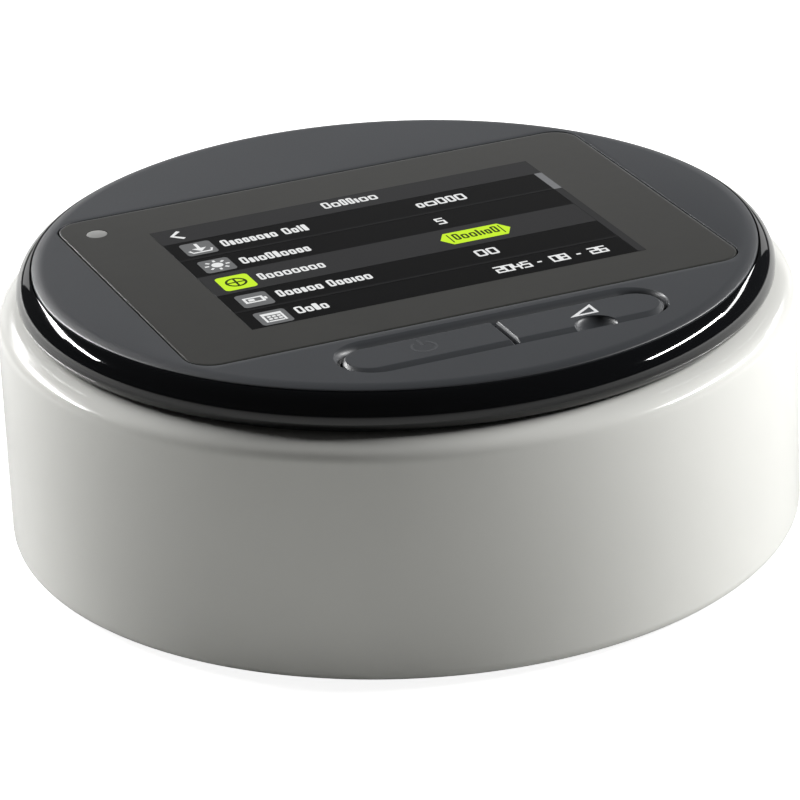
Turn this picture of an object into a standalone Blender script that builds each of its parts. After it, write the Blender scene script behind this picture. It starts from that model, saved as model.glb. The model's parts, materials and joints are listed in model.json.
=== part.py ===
"""A round CPAP machine: a white drum with a black lid that carries a screen and two buttons.

Lengths are in metres, angles in degrees, +Z is up and the front of the machine looks along -Y.
The drum's axis is the axis of the empty "machine", whose place keeps the origin under the middle
of the whole outline. The blower has an empty of its own, on the axis that its impeller turns on.
"""

import math

import bmesh
import bpy

# Fits and mesh settings
GAP = 0.0003
RUNNING_GAP = 0.0001
OVERRUN = 0.0010
WELD = 0.00001
RING_SIDES = 56
BOSS_SIDES = 16
PEG_SIDES = 8
CORNER_STEPS = 3
TUBE_SIDES = 24

# Drum: shell and base
BODY_RADIUS = 0.0710
SHELL_WALL = 0.0022
SHELL_FOOT_ROUND = 0.0022
SHOULDER_ROUND = 0.0024
SHOULDER_FALL = 0.0006
LEDGE_WIDTH = 0.0068
FOOT_DROP = 0.0012
BASE_INSET = 0.0004
BASE_THICKNESS = 0.0024
FOOT_RADIUS = 0.0060
FOOT_INSET = 0.0160
FOOT_RECESS = 0.0010
FOOT_ANGLE = 21
POST_INSET = 0.0063
POST_RADIUS = 0.0036
POST_HEIGHT = 0.0120
POST_ANGLE = 66
POST_COUNT = 4

# Screws
SCREW_RADIUS = 0.0013
SCREW_HEAD_RADIUS = 0.0026
SCREW_HEAD_HEIGHT = 0.0012
SCREW_HEAD_TOP_SHARE = 0.8
BASE_SCREW_LENGTH = 0.0080
BOARD_SCREW_LENGTH = 0.0030
LID_SCREW_BITE = 0.0028
PILOT_SPARE = 0.0006

# Lid: rim, deck and face
LID_INSET = 0.0040
LID_TUCK = 0.0027
LID_WALL = 0.0020
RIM_ROUND = 0.0053
RIM_DROP = 0.0048
RIM_STEPS = 5
RIM_WIDTH = 0.0030
FACE_THICKNESS = 0.0018
DECK_THICKNESS = 0.0020
LID_SCREW_INSET = 0.0040
LID_BOSS_RADIUS = 0.0025
LID_SCREW_ANGLE = 45

# Display
LENS_REAR_INSET = 0.0267
LENS_TO_PILL = 0.00225
LENS_EDGE = 0.000735
LENS_CORNER = 0.0050
LENS_GAP = 0.0003
PANEL_SIDE_MARGIN = 0.0086
PANEL_END_MARGIN = 0.0089
PANEL_THICKNESS = 0.0028
PANEL_CORNER = 0.0008
FRAME_LIP = 0.0034
FRAME_FLOOR = 0.0012
FRAME_GRIP = 0.0070
SENSOR_RADIUS = 0.0017
SENSOR_SIDE_MARGIN = 0.0061
SENSOR_REAR_MARGIN = 0.0073

# Buttons
PILL_LENGTH = 0.0592
PILL_HEIGHT = 0.0111
PILL_X = 0.0005
PILL_INSET = 0.0178
LEAD_SIDES = 0.0006
LEAD_REAR = 0.0023
LEAD_DEPTH = 0.0011
BUTTON_GAP = 0.0005
BUTTON_SPLIT = 0.0009
BUTTON_SINK = 0.0002
BUTTON_ROUND = 0.0005
BUTTON_TRAVEL = 0.0007
FLANGE_REACH = 0.0007
FLANGE_THICKNESS = 0.0010
STEM_RADIUS = 0.0022
STEM_LENGTH = 0.0014
SCOOP_RADIUS = 0.0042
SCOOP_DEPTH = 0.0010
SCOOP_REACH = 0.0042
DOME_RADIUS = 0.0034
DOME_WALL = 0.0008
KEY_BOARD_WIDTH = 0.0480
KEY_BOARD_FRONT = 0.0050
KEY_BOARD_REAR = 0.0115
BOARD_THICKNESS = 0.0012
KEY_POST_INSET = 0.0035
KEY_POST_RADIUS = 0.0023

# Chassis and main board
CHASSIS_INSET = 0.0033
CHASSIS_THICKNESS = 0.0020
CHASSIS_EAR_RADIUS = 0.0034
CHASSIS_EAR_HEIGHT = 0.0020
CHASSIS_NOTCH_SPARE = 0.0012
CABLE_HOLE_RADIUS = 0.0060
CABLE_HOLE_X = 0.0260
BOARD_POST_RADIUS = 0.0026
BOARD_POST_HEIGHT = 0.0012
BOARD_POST_INSET = 0.0060
BOARD_POST_ANGLES = (30, 150, 200, 340)
BOARD_INSET = 0.0095
BOARD_TO_KEYS = 0.0027
DISPLAY_ROOM = 0.0006
PROCESSOR_SIZE = 0.0140
PROCESSOR_HEIGHT = 0.0012
CELL_RADIUS = 0.0062
CELL_HEIGHT = 0.0020
BUZZER_RADIUS = 0.0045
BUZZER_HEIGHT = 0.0022
SOCKET_WIDTH = 0.0200
SOCKET_DEPTH = 0.0045
SOCKET_HEIGHT = 0.0018
SENSOR_BLOCK = 0.0090
SENSOR_BLOCK_HEIGHT = 0.0022
CHIP_X = 0.0240
CHIP_Y = 0.0200

# Blower
MOTOR_ROOM = 0.0082
FOAM_THICKNESS = 0.0052
DUCT_TUCK = 0.0002
DUCT_RADIUS = 0.0080
VOLUTE_WALL = 0.0018
VOLUTE_START = 0.0248
VOLUTE_GROWTH = 0.0072
VOLUTE_STEPS = 24
TONGUE_ANGLE = 40
DUCT_LENGTH = 0.0330
EYE_RADIUS = 0.0090
LUG_RADIUS = 0.0050
LUG_THICKNESS = 0.0024
LUG_REACH = 0.0025
LUG_ANGLES = (100, 215, 325)
DAMPER_RADIUS = 0.0044
IMPELLER_CLEARANCE = 0.0035
IMPELLER_FLOOR_GAP = 0.0010
IMPELLER_DISC = 0.0010
IMPELLER_HUB_RADIUS = 0.0040
IMPELLER_HUB_HEIGHT = 0.0090
HUB_TOP_SHARE = 0.6
HUB_FOOT_SHARE = 1.5
BLADE_COUNT = 9
BLADE_START = 0.0075
BLADE_THICKNESS = 0.0009
BLADE_HEIGHT = 0.0085
BLADE_SWEEP = 62
BLADE_SLANT_SHARE = 0.75
BLADE_STEPS = 3
SHAFT_RADIUS = 0.0015
SHAFT_OVER_HUB = 0.0006
BEARING_RADIUS = 0.0042
BEARING_HEIGHT = 0.0018
CAN_RADIUS = 0.0165
CAN_WALL = 0.0009
CAN_CLEARANCE = 0.0006
ROTOR_RADIUS = 0.0072
ROTOR_HEIGHT = 0.0034
STATOR_GAP = 0.0005
STATOR_THICKNESS = 0.0062
FOAM_RADIUS = 0.0270
FOAM_EYE_RADIUS = 0.0120

# Air outlet
OUTLET_LENGTH = 0.0200
OUTLET_ROOT_RADIUS = 0.0112
OUTLET_TIP_RADIUS = 0.0109
OUTLET_BORE_RADIUS = 0.0090
OUTLET_TIP_ROUND = 0.0006
OUTLET_BOSS_RADIUS = 0.0150
OUTLET_BOSS_PROUD = 0.0012
OUTLET_BOSS_DEPTH = 0.0060
OUTLET_FLANGE_RADIUS = 0.0138
OUTLET_FLANGE_THICKNESS = 0.0018
SPIGOT_LENGTH = 0.0060
BELLOWS_WALL = 0.0009
BELLOWS_RIB = 0.0012
BELLOWS_RIBS = 4

# Air inlet
FILTER_ANGLE = 127
FILTER_RISE = 0.0012
FILTER_WIDTH = 0.0340
FILTER_HEIGHT = 0.0180
FILTER_DEPTH = 0.0060
TRAY_WALL = 0.0014
TRAY_BACK = 0.0012
TRAY_BAR = 0.0020
TRAY_BARS = 3
COVER_LAP = 0.0015
COVER_THICKNESS = 0.0020
COVER_STEPS = 10
LOUVRE_HEIGHT = 0.0016
LOUVRE_COUNT = 5
LOUVRE_MARGIN = 0.0035

# Power inlet
JACK_ANGLE = 45
JACK_RISE = 0.0140
JACK_WIDTH = 0.0130
JACK_HEIGHT = 0.0120
JACK_DEPTH = 0.0120
JACK_NOSE_RADIUS = 0.0056
JACK_MOUTH_RADIUS = 0.0033
JACK_MOUTH_DEPTH = 0.0090
JACK_PIN_RADIUS = 0.0010
JACK_RECESS = 0.0004

# Memory card
CARD_LENGTH = 0.0320
CARD_WIDTH = 0.0240
CARD_THICKNESS = 0.0021
CARD_NOTCH = 0.0040
CARD_RECESS = 0.0006
READER_SHORT = 0.0050
READER_WALL = 0.0009
READER_HANG = 0.0034
CARD_BOARD_SPARE = 0.0020

# Circles about the drum's axis, from the outside in
SHELL_INNER = BODY_RADIUS - SHELL_WALL
POST_CIRCLE = SHELL_INNER - POST_INSET
FOOT_CIRCLE = BODY_RADIUS - FOOT_INSET
LID_RADIUS = BODY_RADIUS - LID_INSET
LID_FOOT_RADIUS = LID_RADIUS - LID_TUCK
MOUTH_RADIUS = LID_FOOT_RADIUS - LEDGE_WIDTH
LID_SCREW_CIRCLE = LID_FOOT_RADIUS - LID_SCREW_INSET
FACE_RADIUS = LID_RADIUS - RIM_WIDTH
CHASSIS_RADIUS = SHELL_INNER - CHASSIS_INSET
MAIN_BOARD_RADIUS = CHASSIS_RADIUS - BOARD_INSET
BOARD_POST_CIRCLE = MAIN_BOARD_RADIUS - BOARD_POST_INSET

# Places on the face: the pill near its front edge, the lens behind the pill with its rear corners
# just inside the face's edge, and the panel and the sensor within the lens
PILL_Y = PILL_INSET - FACE_RADIUS
LENS_FRONT_Y = PILL_Y + PILL_HEIGHT / 2 + LEAD_REAR + LENS_TO_PILL
LENS_REAR_Y = FACE_RADIUS - LENS_REAR_INSET
LENS_DEPTH = LENS_REAR_Y - LENS_FRONT_Y
LENS_OFFSET = (LENS_REAR_Y + LENS_FRONT_Y) / 2
LENS_WIDTH = 2 * math.sqrt((FACE_RADIUS - LENS_EDGE) ** 2 - LENS_REAR_Y ** 2)
PANEL_WIDTH = LENS_WIDTH - 2 * PANEL_SIDE_MARGIN
PANEL_DEPTH = LENS_DEPTH - 2 * PANEL_END_MARGIN
SENSOR_X = SENSOR_SIDE_MARGIN - LENS_WIDTH / 2
SENSOR_Y = LENS_REAR_Y - SENSOR_REAR_MARGIN
KEY_POST_X = KEY_BOARD_WIDTH / 2 - KEY_POST_INSET
MAIN_BOARD_FRONT = -PILL_Y - KEY_BOARD_REAR - BOARD_TO_KEYS

# The blower's places: its duct lies in line with the air outlet
DUCT_OFFSET = VOLUTE_START + VOLUTE_GROWTH - DUCT_TUCK - VOLUTE_WALL - DUCT_RADIUS
BLOWER_X = -DUCT_OFFSET
IMPELLER_RADIUS = VOLUTE_START - VOLUTE_WALL - IMPELLER_CLEARANCE

# Levels, from the ground up: base, motor, scroll, foam, chassis, ledge
BASE_LOW = FOOT_DROP + BASE_INSET
BASE_TOP = BASE_LOW + BASE_THICKNESS
POST_LOW = BASE_TOP + GAP
VOLUTE_LOW = BASE_TOP + MOTOR_ROOM
CAVITY_LOW = VOLUTE_LOW + VOLUTE_WALL
OUTLET_Z = CAVITY_LOW + DUCT_RADIUS
CAVITY_TOP = OUTLET_Z + DUCT_RADIUS
VOLUTE_TOP = CAVITY_TOP + VOLUTE_WALL
CHASSIS_LOW = VOLUTE_TOP + GAP + FOAM_THICKNESS + GAP
CHASSIS_TOP = CHASSIS_LOW + CHASSIS_THICKNESS
EAR_TOP = CHASSIS_TOP + CHASSIS_EAR_HEIGHT
LEDGE_LOW = EAR_TOP + GAP
SHOULDER_Z = LEDGE_LOW + SHELL_WALL
LID_SCREW_SEAT = CHASSIS_LOW - GAP
FILTER_Z = (BASE_TOP + CHASSIS_LOW) / 2 + FILTER_RISE
JACK_Z = BASE_TOP + JACK_RISE

# Levels in the lid: boards on the chassis, display over the tallest chip, face on top
BOARD_LOW = CHASSIS_TOP + BOARD_POST_HEIGHT + GAP
BOARD_TOP = BOARD_LOW + BOARD_THICKNESS
CHIP_LOW = BOARD_TOP + GAP
TALLEST_CHIP = max(PROCESSOR_HEIGHT, CELL_HEIGHT, BUZZER_HEIGHT, SOCKET_HEIGHT, SENSOR_BLOCK_HEIGHT)
FRAME_LOW = CHIP_LOW + TALLEST_CHIP + DISPLAY_ROOM
PANEL_LOW = FRAME_LOW + FRAME_FLOOR + GAP
PANEL_TOP = PANEL_LOW + PANEL_THICKNESS
FACE_LOW = PANEL_TOP + GAP
TOP_HEIGHT = FACE_LOW + FACE_THICKNESS
DECK_TOP = FACE_LOW - GAP
DECK_LOW = DECK_TOP - DECK_THICKNESS
FLANGE_TOP = DECK_LOW - GAP
FLANGE_LOW = FLANGE_TOP - FLANGE_THICKNESS
STEM_LOW = FLANGE_LOW - STEM_LENGTH
KEY_BOARD_LOW = CHASSIS_TOP + RUNNING_GAP + SCREW_HEAD_HEIGHT + GAP
KEY_BOARD_TOP = KEY_BOARD_LOW + BOARD_THICKNESS
DOME_LOW = KEY_BOARD_TOP + GAP
DOME_TOP = STEM_LOW - GAP

# Sizes and places in the back and the side
BOSS_FACE_Y = BODY_RADIUS + OUTLET_BOSS_PROUD
BOSS_REAR_Y = BOSS_FACE_Y - OUTLET_BOSS_DEPTH
OUTLET_END_Y = BOSS_FACE_Y + OUTLET_LENGTH
SPIGOT_Y = BOSS_REAR_Y - GAP - OUTLET_FLANGE_THICKNESS - SPIGOT_LENGTH
COVER_WIDTH = FILTER_WIDTH + 2 * COVER_LAP
COVER_HEIGHT = FILTER_HEIGHT + 2 * COVER_LAP
READER_LENGTH = CARD_LENGTH - READER_SHORT
PILOT_RADIUS = SCREW_RADIUS + GAP
MACHINE_Y = (BODY_RADIUS - OUTLET_END_Y) / 2


def clear_scene():
    """Empties the scene of what Blender starts with."""
    for obj in list(bpy.data.objects):
        bpy.data.objects.remove(obj, do_unlink=True)


def finish(name, colour, roughness, metallic=0.0):
    """A Principled material with one colour, given in linear values."""
    made = bpy.data.materials.new(name)
    made.use_nodes = True
    shader = made.node_tree.nodes["Principled BSDF"]
    shader.inputs["Base Color"].default_value = (*colour, 1.0)
    shader.inputs["Roughness"].default_value = roughness
    shader.inputs["Metallic"].default_value = metallic
    return made


def empty(name, place, parent=None):
    """An empty that places what hangs under it."""
    made = bpy.data.objects.new(name, None)
    bpy.context.scene.collection.objects.link(made)
    made.location = place
    made.parent = parent
    return made


def add(name, mesh, material, parent, place=(0, 0, 0)):
    """Links an object to the scene, in the frame of its parent."""
    made = bpy.data.objects.new(name, mesh)
    bpy.context.scene.collection.objects.link(made)
    made.parent = parent
    made.location = place
    if material:
        mesh.materials.append(material)
    return made


def turned(name, outline, material, parent, place=(0, 0, 0), sides=RING_SIDES):
    """A turned solid. The outline is (radius, height) points that run down its outer side.

    One that starts and ends on the axis is open there, and any other closes on itself.
    """
    count = len(outline)
    edges = [(i, i + 1) for i in range(count - 1)]
    if outline[0][0] > 0:
        edges.append((count - 1, 0))
    mesh = bpy.data.meshes.new(name)
    mesh.from_pydata([(radius, 0, height) for radius, height in outline], edges, [])
    made = add(name, mesh, material, parent, place)
    turn = made.modifiers.new("turn", "SCREW")
    turn.steps = turn.render_steps = sides
    turn.use_merge_vertices = True
    turn.merge_threshold = WELD
    return made


def disc(radius, low, high):
    """Outline of a plain turned disc."""
    return [(0, high), (radius, high), (radius, low), (0, low)]


def ring(inner, outer, low, high):
    """Outline of a plain turned ring."""
    return [(inner, high), (outer, high), (outer, low), (inner, low)]


def quarter(centre, radii, start, end, steps):
    """Points of an elliptical arc from one angle to another, ends included."""
    points = []
    for step in range(steps + 1):
        angle = math.radians(start + (end - start) * step / steps)
        points.append((centre[0] + radii[0] * math.cos(angle), centre[1] + radii[1] * math.sin(angle)))
    return points


def prism_mesh(name, outlines, low, high):
    """A mesh with one upright prism on each outline, a list of (x, y) points."""
    form = bmesh.new()
    for outline in outlines:
        base = form.faces.new([form.verts.new((x, y, low)) for x, y in outline])
        grown = bmesh.ops.extrude_face_region(form, geom=[base])
        tops = [item for item in grown["geom"] if isinstance(item, bmesh.types.BMVert)]
        bmesh.ops.translate(form, vec=(0, 0, high - low), verts=tops)
    bmesh.ops.recalc_face_normals(form, faces=form.faces)
    mesh = bpy.data.meshes.new(name)
    form.to_mesh(mesh)
    form.free()
    return mesh


def prism(name, outlines, low, high, material, parent, place=(0, 0, 0)):
    """Upright prisms as one object."""
    return add(name, prism_mesh(name, outlines, low, high), material, parent, place)


def circle(radius, centre=(0, 0), sides=BOSS_SIDES):
    """Outline of a round peg or hole."""
    turn = 2 * math.pi / sides
    return [
        (centre[0] + radius * math.cos(turn * i), centre[1] + radius * math.sin(turn * i))
        for i in range(sides)
    ]


def polar(radius, angle):
    """The point at a radius and an angle about the drum's axis."""
    return radius * math.cos(math.radians(angle)), radius * math.sin(math.radians(angle))


def around(radius, first, count=POST_COUNT):
    """Evenly spaced points on a circle."""
    return [polar(radius, first + 360 * i / count) for i in range(count)]


def rounded_rectangle(width, depth, corner, centre=(0, 0)):
    """Outline of a rectangle with round corners."""
    points = []
    for index, (right, up) in enumerate([(1, 1), (-1, 1), (-1, -1), (1, -1)]):
        middle = (centre[0] + right * (width / 2 - corner), centre[1] + up * (depth / 2 - corner))
        points += quarter(middle, (corner, corner), 90 * index, 90 * index + 90, CORNER_STEPS)
    return points


def rectangle(width, depth, centre=(0, 0)):
    """Outline of a plain rectangle."""
    half_w, half_d = width / 2, depth / 2
    return [(centre[0] + x * half_w, centre[1] + y * half_d) for x, y in ((-1, -1), (1, -1), (1, 1), (-1, 1))]


def turn_outline(outline, angle):
    """Turns an outline about the drum's axis."""
    cosine, sine = math.cos(math.radians(angle)), math.sin(math.radians(angle))
    return [(x * cosine - y * sine, x * sine + y * cosine) for x, y in outline]


def pill():
    """Outline of the button recess."""
    return rounded_rectangle(PILL_LENGTH, PILL_HEIGHT, PILL_HEIGHT / 2 - WELD, (PILL_X, PILL_Y))


def pill_rim():
    """Outline of the recess's upper edge, which leans out all round, and further at the rear."""
    height = PILL_HEIGHT + LEAD_SIDES + LEAD_REAR
    centre = (PILL_X, PILL_Y + (LEAD_REAR - LEAD_SIDES) / 2)
    return rounded_rectangle(PILL_LENGTH + 2 * LEAD_SIDES, height, height / 2 - WELD, centre)


def half_pill(side, grow):
    """Outline of one button about the middle of its half: round outside, square at the split."""
    radius = PILL_HEIGHT / 2 + grow
    middle = side * (PILL_LENGTH / 2 - PILL_HEIGHT / 2)
    inner = side * BUTTON_SPLIT / 2
    points = [(inner, -radius)]
    points += [(middle + side * x, y) for x, y in quarter((0, 0), (radius, radius), -90, 90, 2 * CORNER_STEPS)]
    points.append((inner, radius))
    return [(x - side * PILL_LENGTH / 4, y) for x, y in points]


def hide(tool):
    """Marks an object as a tool that shapes others and isn't a piece itself."""
    tool.hide_render = True
    tool.display_type = "WIRE"
    return tool


def shape(target, tool, operation):
    """Joins a tool to a piece, or cuts it out."""
    step = target.modifiers.new(tool.name, "BOOLEAN")
    step.operation = operation
    step.object = hide(tool)


def join(target, tool):
    shape(target, tool, "UNION")


def cut(target, tool):
    shape(target, tool, "DIFFERENCE")


def soften(target, width, steps=2, angle=40):
    """Rounds the sharp edges of a piece."""
    bevel = target.modifiers.new("round", "BEVEL")
    bevel.width = width
    bevel.segments = steps
    bevel.limit_method = "ANGLE"
    bevel.angle_limit = math.radians(angle)


def lay_along_y(target, place):
    """Turns a piece made along Z so that its height runs along +Y."""
    target.rotation_euler = (math.radians(-90), 0, 0)
    target.location = place


def face_out(target, angle):
    """Turns a piece made along +X to face out of the drum at an angle."""
    target.rotation_euler = (0, 0, math.radians(angle))


def screw(name, place, length, material, parent, up=True):
    """A pan-head screw. Its head's bearing face is at the given place and its shank points up or down."""
    outline = [
        (0, length),
        (SCREW_RADIUS, length),
        (SCREW_RADIUS, 0),
        (SCREW_HEAD_RADIUS, 0),
        (SCREW_HEAD_RADIUS * SCREW_HEAD_TOP_SHARE, -SCREW_HEAD_HEIGHT),
        (0, -SCREW_HEAD_HEIGHT),
    ]
    made = turned(name, outline, material, parent, place, PEG_SIDES)
    if not up:
        made.rotation_euler = (math.radians(180), 0, 0)
    return made


def make_shell(machine, white):
    """The white drum: wall, rounded shoulder, ledge for the lid, and the openings in its back."""
    wall_top = SHOULDER_Z - SHOULDER_FALL - SHOULDER_ROUND
    outline = [(MOUTH_RADIUS, SHOULDER_Z), (LID_FOOT_RADIUS, SHOULDER_Z)]
    outline += quarter(
        (BODY_RADIUS - SHOULDER_ROUND, wall_top), (SHOULDER_ROUND, SHOULDER_ROUND), 90, 0, CORNER_STEPS
    )
    outline += quarter(
        (BODY_RADIUS - SHELL_FOOT_ROUND, FOOT_DROP + SHELL_FOOT_ROUND),
        (SHELL_FOOT_ROUND - WELD, SHELL_FOOT_ROUND),
        0,
        -90,
        CORNER_STEPS,
    )
    outline += [
        (SHELL_INNER - WELD, FOOT_DROP),
        (SHELL_INNER - WELD, LEDGE_LOW - SHOULDER_ROUND),
        (SHELL_INNER - SHOULDER_ROUND, LEDGE_LOW),
        (MOUTH_RADIUS, LEDGE_LOW),
    ]
    shell = turned("body_shell", outline, white, machine)

    reach = SHELL_INNER + SHELL_WALL / 2 - POST_CIRCLE + POST_RADIUS
    post = rounded_rectangle(
        reach, 2 * POST_RADIUS, POST_RADIUS - WELD, (POST_CIRCLE - POST_RADIUS + reach / 2, 0)
    )
    posts = [turn_outline(post, POST_ANGLE + 360 * i / POST_COUNT) for i in range(POST_COUNT)]
    join(shell, prism("shell_posts", posts, POST_LOW, POST_LOW + POST_HEIGHT, None, machine))

    bore = OUTLET_ROOT_RADIUS + GAP
    middle = (bore + OUTLET_BOSS_RADIUS) / 2
    hole = turned(
        "outlet_hole",
        disc(middle, BOSS_REAR_Y - OVERRUN, BOSS_FACE_Y + OVERRUN),
        None,
        machine,
        sides=TUBE_SIDES,
    )
    lay_along_y(hole, (0, 0, OUTLET_Z))
    cut(shell, hole)
    boss = turned(
        "outlet_boss",
        ring(bore, OUTLET_BOSS_RADIUS, BOSS_REAR_Y, BOSS_FACE_Y),
        None,
        machine,
        sides=TUBE_SIDES,
    )
    lay_along_y(boss, (0, 0, OUTLET_Z))
    join(shell, boss)

    depth = SHELL_WALL + 2 * FILTER_DEPTH
    window = prism(
        "filter_window",
        [rectangle(depth, COVER_WIDTH + 2 * GAP, (BODY_RADIUS - depth / 2 + OVERRUN, 0))],
        FILTER_Z - COVER_HEIGHT / 2 - GAP,
        FILTER_Z + COVER_HEIGHT / 2 + GAP,
        None,
        machine,
    )
    face_out(window, FILTER_ANGLE)
    cut(shell, window)

    nose = turned(
        "jack_hole",
        disc(JACK_NOSE_RADIUS + GAP, SHELL_INNER - SHELL_WALL, BODY_RADIUS + OVERRUN),
        None,
        machine,
        sides=BOSS_SIDES,
    )
    nose.rotation_euler = (0, math.radians(90), math.radians(JACK_ANGLE))
    nose.location = (0, 0, JACK_Z)
    cut(shell, nose)

    slot_z = card_middle()
    slot = prism(
        "card_slot",
        [rectangle(2 * SHELL_WALL + OVERRUN, CARD_WIDTH + 4 * GAP, (BODY_RADIUS - SHELL_WALL + OVERRUN / 2, 0))],
        slot_z - CARD_THICKNESS / 2 - 2 * GAP,
        slot_z + CARD_THICKNESS / 2 + 2 * GAP,
        None,
        machine,
    )
    cut(shell, slot)

    holes = [circle(PILOT_RADIUS, place, PEG_SIDES) for place in around(LID_SCREW_CIRCLE, LID_SCREW_ANGLE)]
    cut(shell, prism("ledge_holes", holes, LEDGE_LOW - OVERRUN, SHOULDER_Z + OVERRUN, None, machine))
    pilots = [circle(PILOT_RADIUS, place, PEG_SIDES) for place in around(POST_CIRCLE, POST_ANGLE)]
    pilot_top = base_screw_seat() + BASE_SCREW_LENGTH + PILOT_SPARE
    cut(shell, prism("post_pilots", pilots, POST_LOW - OVERRUN, pilot_top, None, machine))
    return shell


def base_screw_seat():
    """Height of the face that the base screws' heads bear on, with their gap."""
    return BASE_LOW + SCREW_HEAD_HEIGHT


def make_base(machine, white, rubber, steel):
    """The base plate, its rubber feet and its screws."""
    outline = disc(SHELL_INNER - GAP, BASE_LOW, BASE_TOP)
    base = turned("base_plate", outline, white, machine)
    feet = around(FOOT_CIRCLE, FOOT_ANGLE)
    recesses = [circle(FOOT_RADIUS + GAP, place) for place in feet]
    cut(base, prism("foot_recesses", recesses, BASE_LOW - OVERRUN, BASE_LOW + FOOT_RECESS, None, machine))
    places = around(POST_CIRCLE, POST_ANGLE)
    seat = base_screw_seat() + GAP
    heads = [circle(SCREW_HEAD_RADIUS + GAP, place, PEG_SIDES) for place in places]
    cut(base, prism("head_recesses", heads, BASE_LOW - OVERRUN, seat, None, machine))
    holes = [circle(PILOT_RADIUS, place, PEG_SIDES) for place in places]
    cut(base, prism("base_holes", holes, BASE_LOW - OVERRUN, BASE_TOP + OVERRUN, None, machine))
    for number, (x, y) in enumerate(feet, 1):
        top = BASE_LOW + FOOT_RECESS - GAP
        foot = [
            (0, top),
            (FOOT_RADIUS, top),
            (FOOT_RADIUS, FOOT_DROP / 2),
            (FOOT_RADIUS - FOOT_DROP / 2, 0),
            (0, 0),
        ]
        turned(f"foot_{number}", foot, rubber, machine, (x, y, 0), BOSS_SIDES)
    for number, (x, y) in enumerate(places, 1):
        screw(f"base_screw_{number}", (x, y, base_screw_seat()), BASE_SCREW_LENGTH, steel, machine)


def rim_angle(radius):
    """Angle on the rim's rounding at a radius: 90 at the flat top and 0 at the widest place."""
    return math.degrees(math.acos((radius - (LID_RADIUS - RIM_ROUND)) / RIM_ROUND))


def make_top_cover(machine, gloss, steel):
    """The lid's gloss black housing: rounded rim, wall, deck with its windows, bosses and screws."""
    edge = FACE_RADIUS + GAP
    centre = (LID_RADIUS - RIM_ROUND, TOP_HEIGHT - RIM_DROP)
    foot_z = SHOULDER_Z + GAP
    outline = [(0, DECK_TOP), (edge, DECK_TOP)]
    outline += quarter(centre, (RIM_ROUND, RIM_DROP), rim_angle(edge), 0, RIM_STEPS)
    fall = TOP_HEIGHT - RIM_DROP - foot_z
    outline += quarter((LID_FOOT_RADIUS, foot_z + fall), (LID_TUCK, fall), -12, -90, CORNER_STEPS)
    inner = LID_FOOT_RADIUS - LID_WALL
    outline += [(inner, foot_z), (inner, DECK_LOW), (0, DECK_LOW)]
    cover = turned("top_cover", outline, gloss, machine)

    bosses = [circle(LID_BOSS_RADIUS, place, PEG_SIDES) for place in around(LID_SCREW_CIRCLE, LID_SCREW_ANGLE)]
    join(cover, prism("lid_bosses", bosses, foot_z, DECK_LOW + DECK_THICKNESS / 2, None, machine))
    key_posts = [circle(KEY_POST_RADIUS, (side * KEY_POST_X, key_post_y()), PEG_SIDES) for side in (-1, 1)]
    key_posts_low = KEY_BOARD_TOP + GAP
    join(cover, prism("key_posts", key_posts, key_posts_low, DECK_LOW + DECK_THICKNESS / 2, None, machine))

    panel = rounded_rectangle(
        PANEL_WIDTH + 2 * GAP, PANEL_DEPTH + 2 * GAP, PANEL_CORNER, (0, LENS_OFFSET)
    )
    windows = prism("deck_windows", [panel, pill()], DECK_LOW - OVERRUN, DECK_TOP + OVERRUN, None, machine)
    cut(cover, windows)
    pilots = [circle(PILOT_RADIUS, place, PEG_SIDES) for place in around(LID_SCREW_CIRCLE, LID_SCREW_ANGLE)]
    pilot_top = foot_z + LID_SCREW_BITE + PILOT_SPARE
    cut(cover, prism("boss_pilots", pilots, foot_z - OVERRUN, pilot_top, None, machine))
    key_pilots = [circle(PILOT_RADIUS, (side * KEY_POST_X, key_post_y()), PEG_SIDES) for side in (-1, 1)]
    key_pilot_top = KEY_BOARD_LOW + BOARD_SCREW_LENGTH + PILOT_SPARE
    cut(cover, prism("key_pilots", key_pilots, key_posts_low - OVERRUN, key_pilot_top, None, machine))

    for number, (x, y) in enumerate(around(LID_SCREW_CIRCLE, LID_SCREW_ANGLE), 1):
        length = foot_z + LID_SCREW_BITE - LID_SCREW_SEAT
        screw(f"lid_screw_{number}", (x, y, LID_SCREW_SEAT), length, steel, machine)
    return cover


def key_post_y():
    """Where the key board's two screws stand, just behind the buttons' flanges."""
    return PILL_Y + PILL_HEIGHT / 2 + FLANGE_REACH + GAP + KEY_POST_RADIUS


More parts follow.
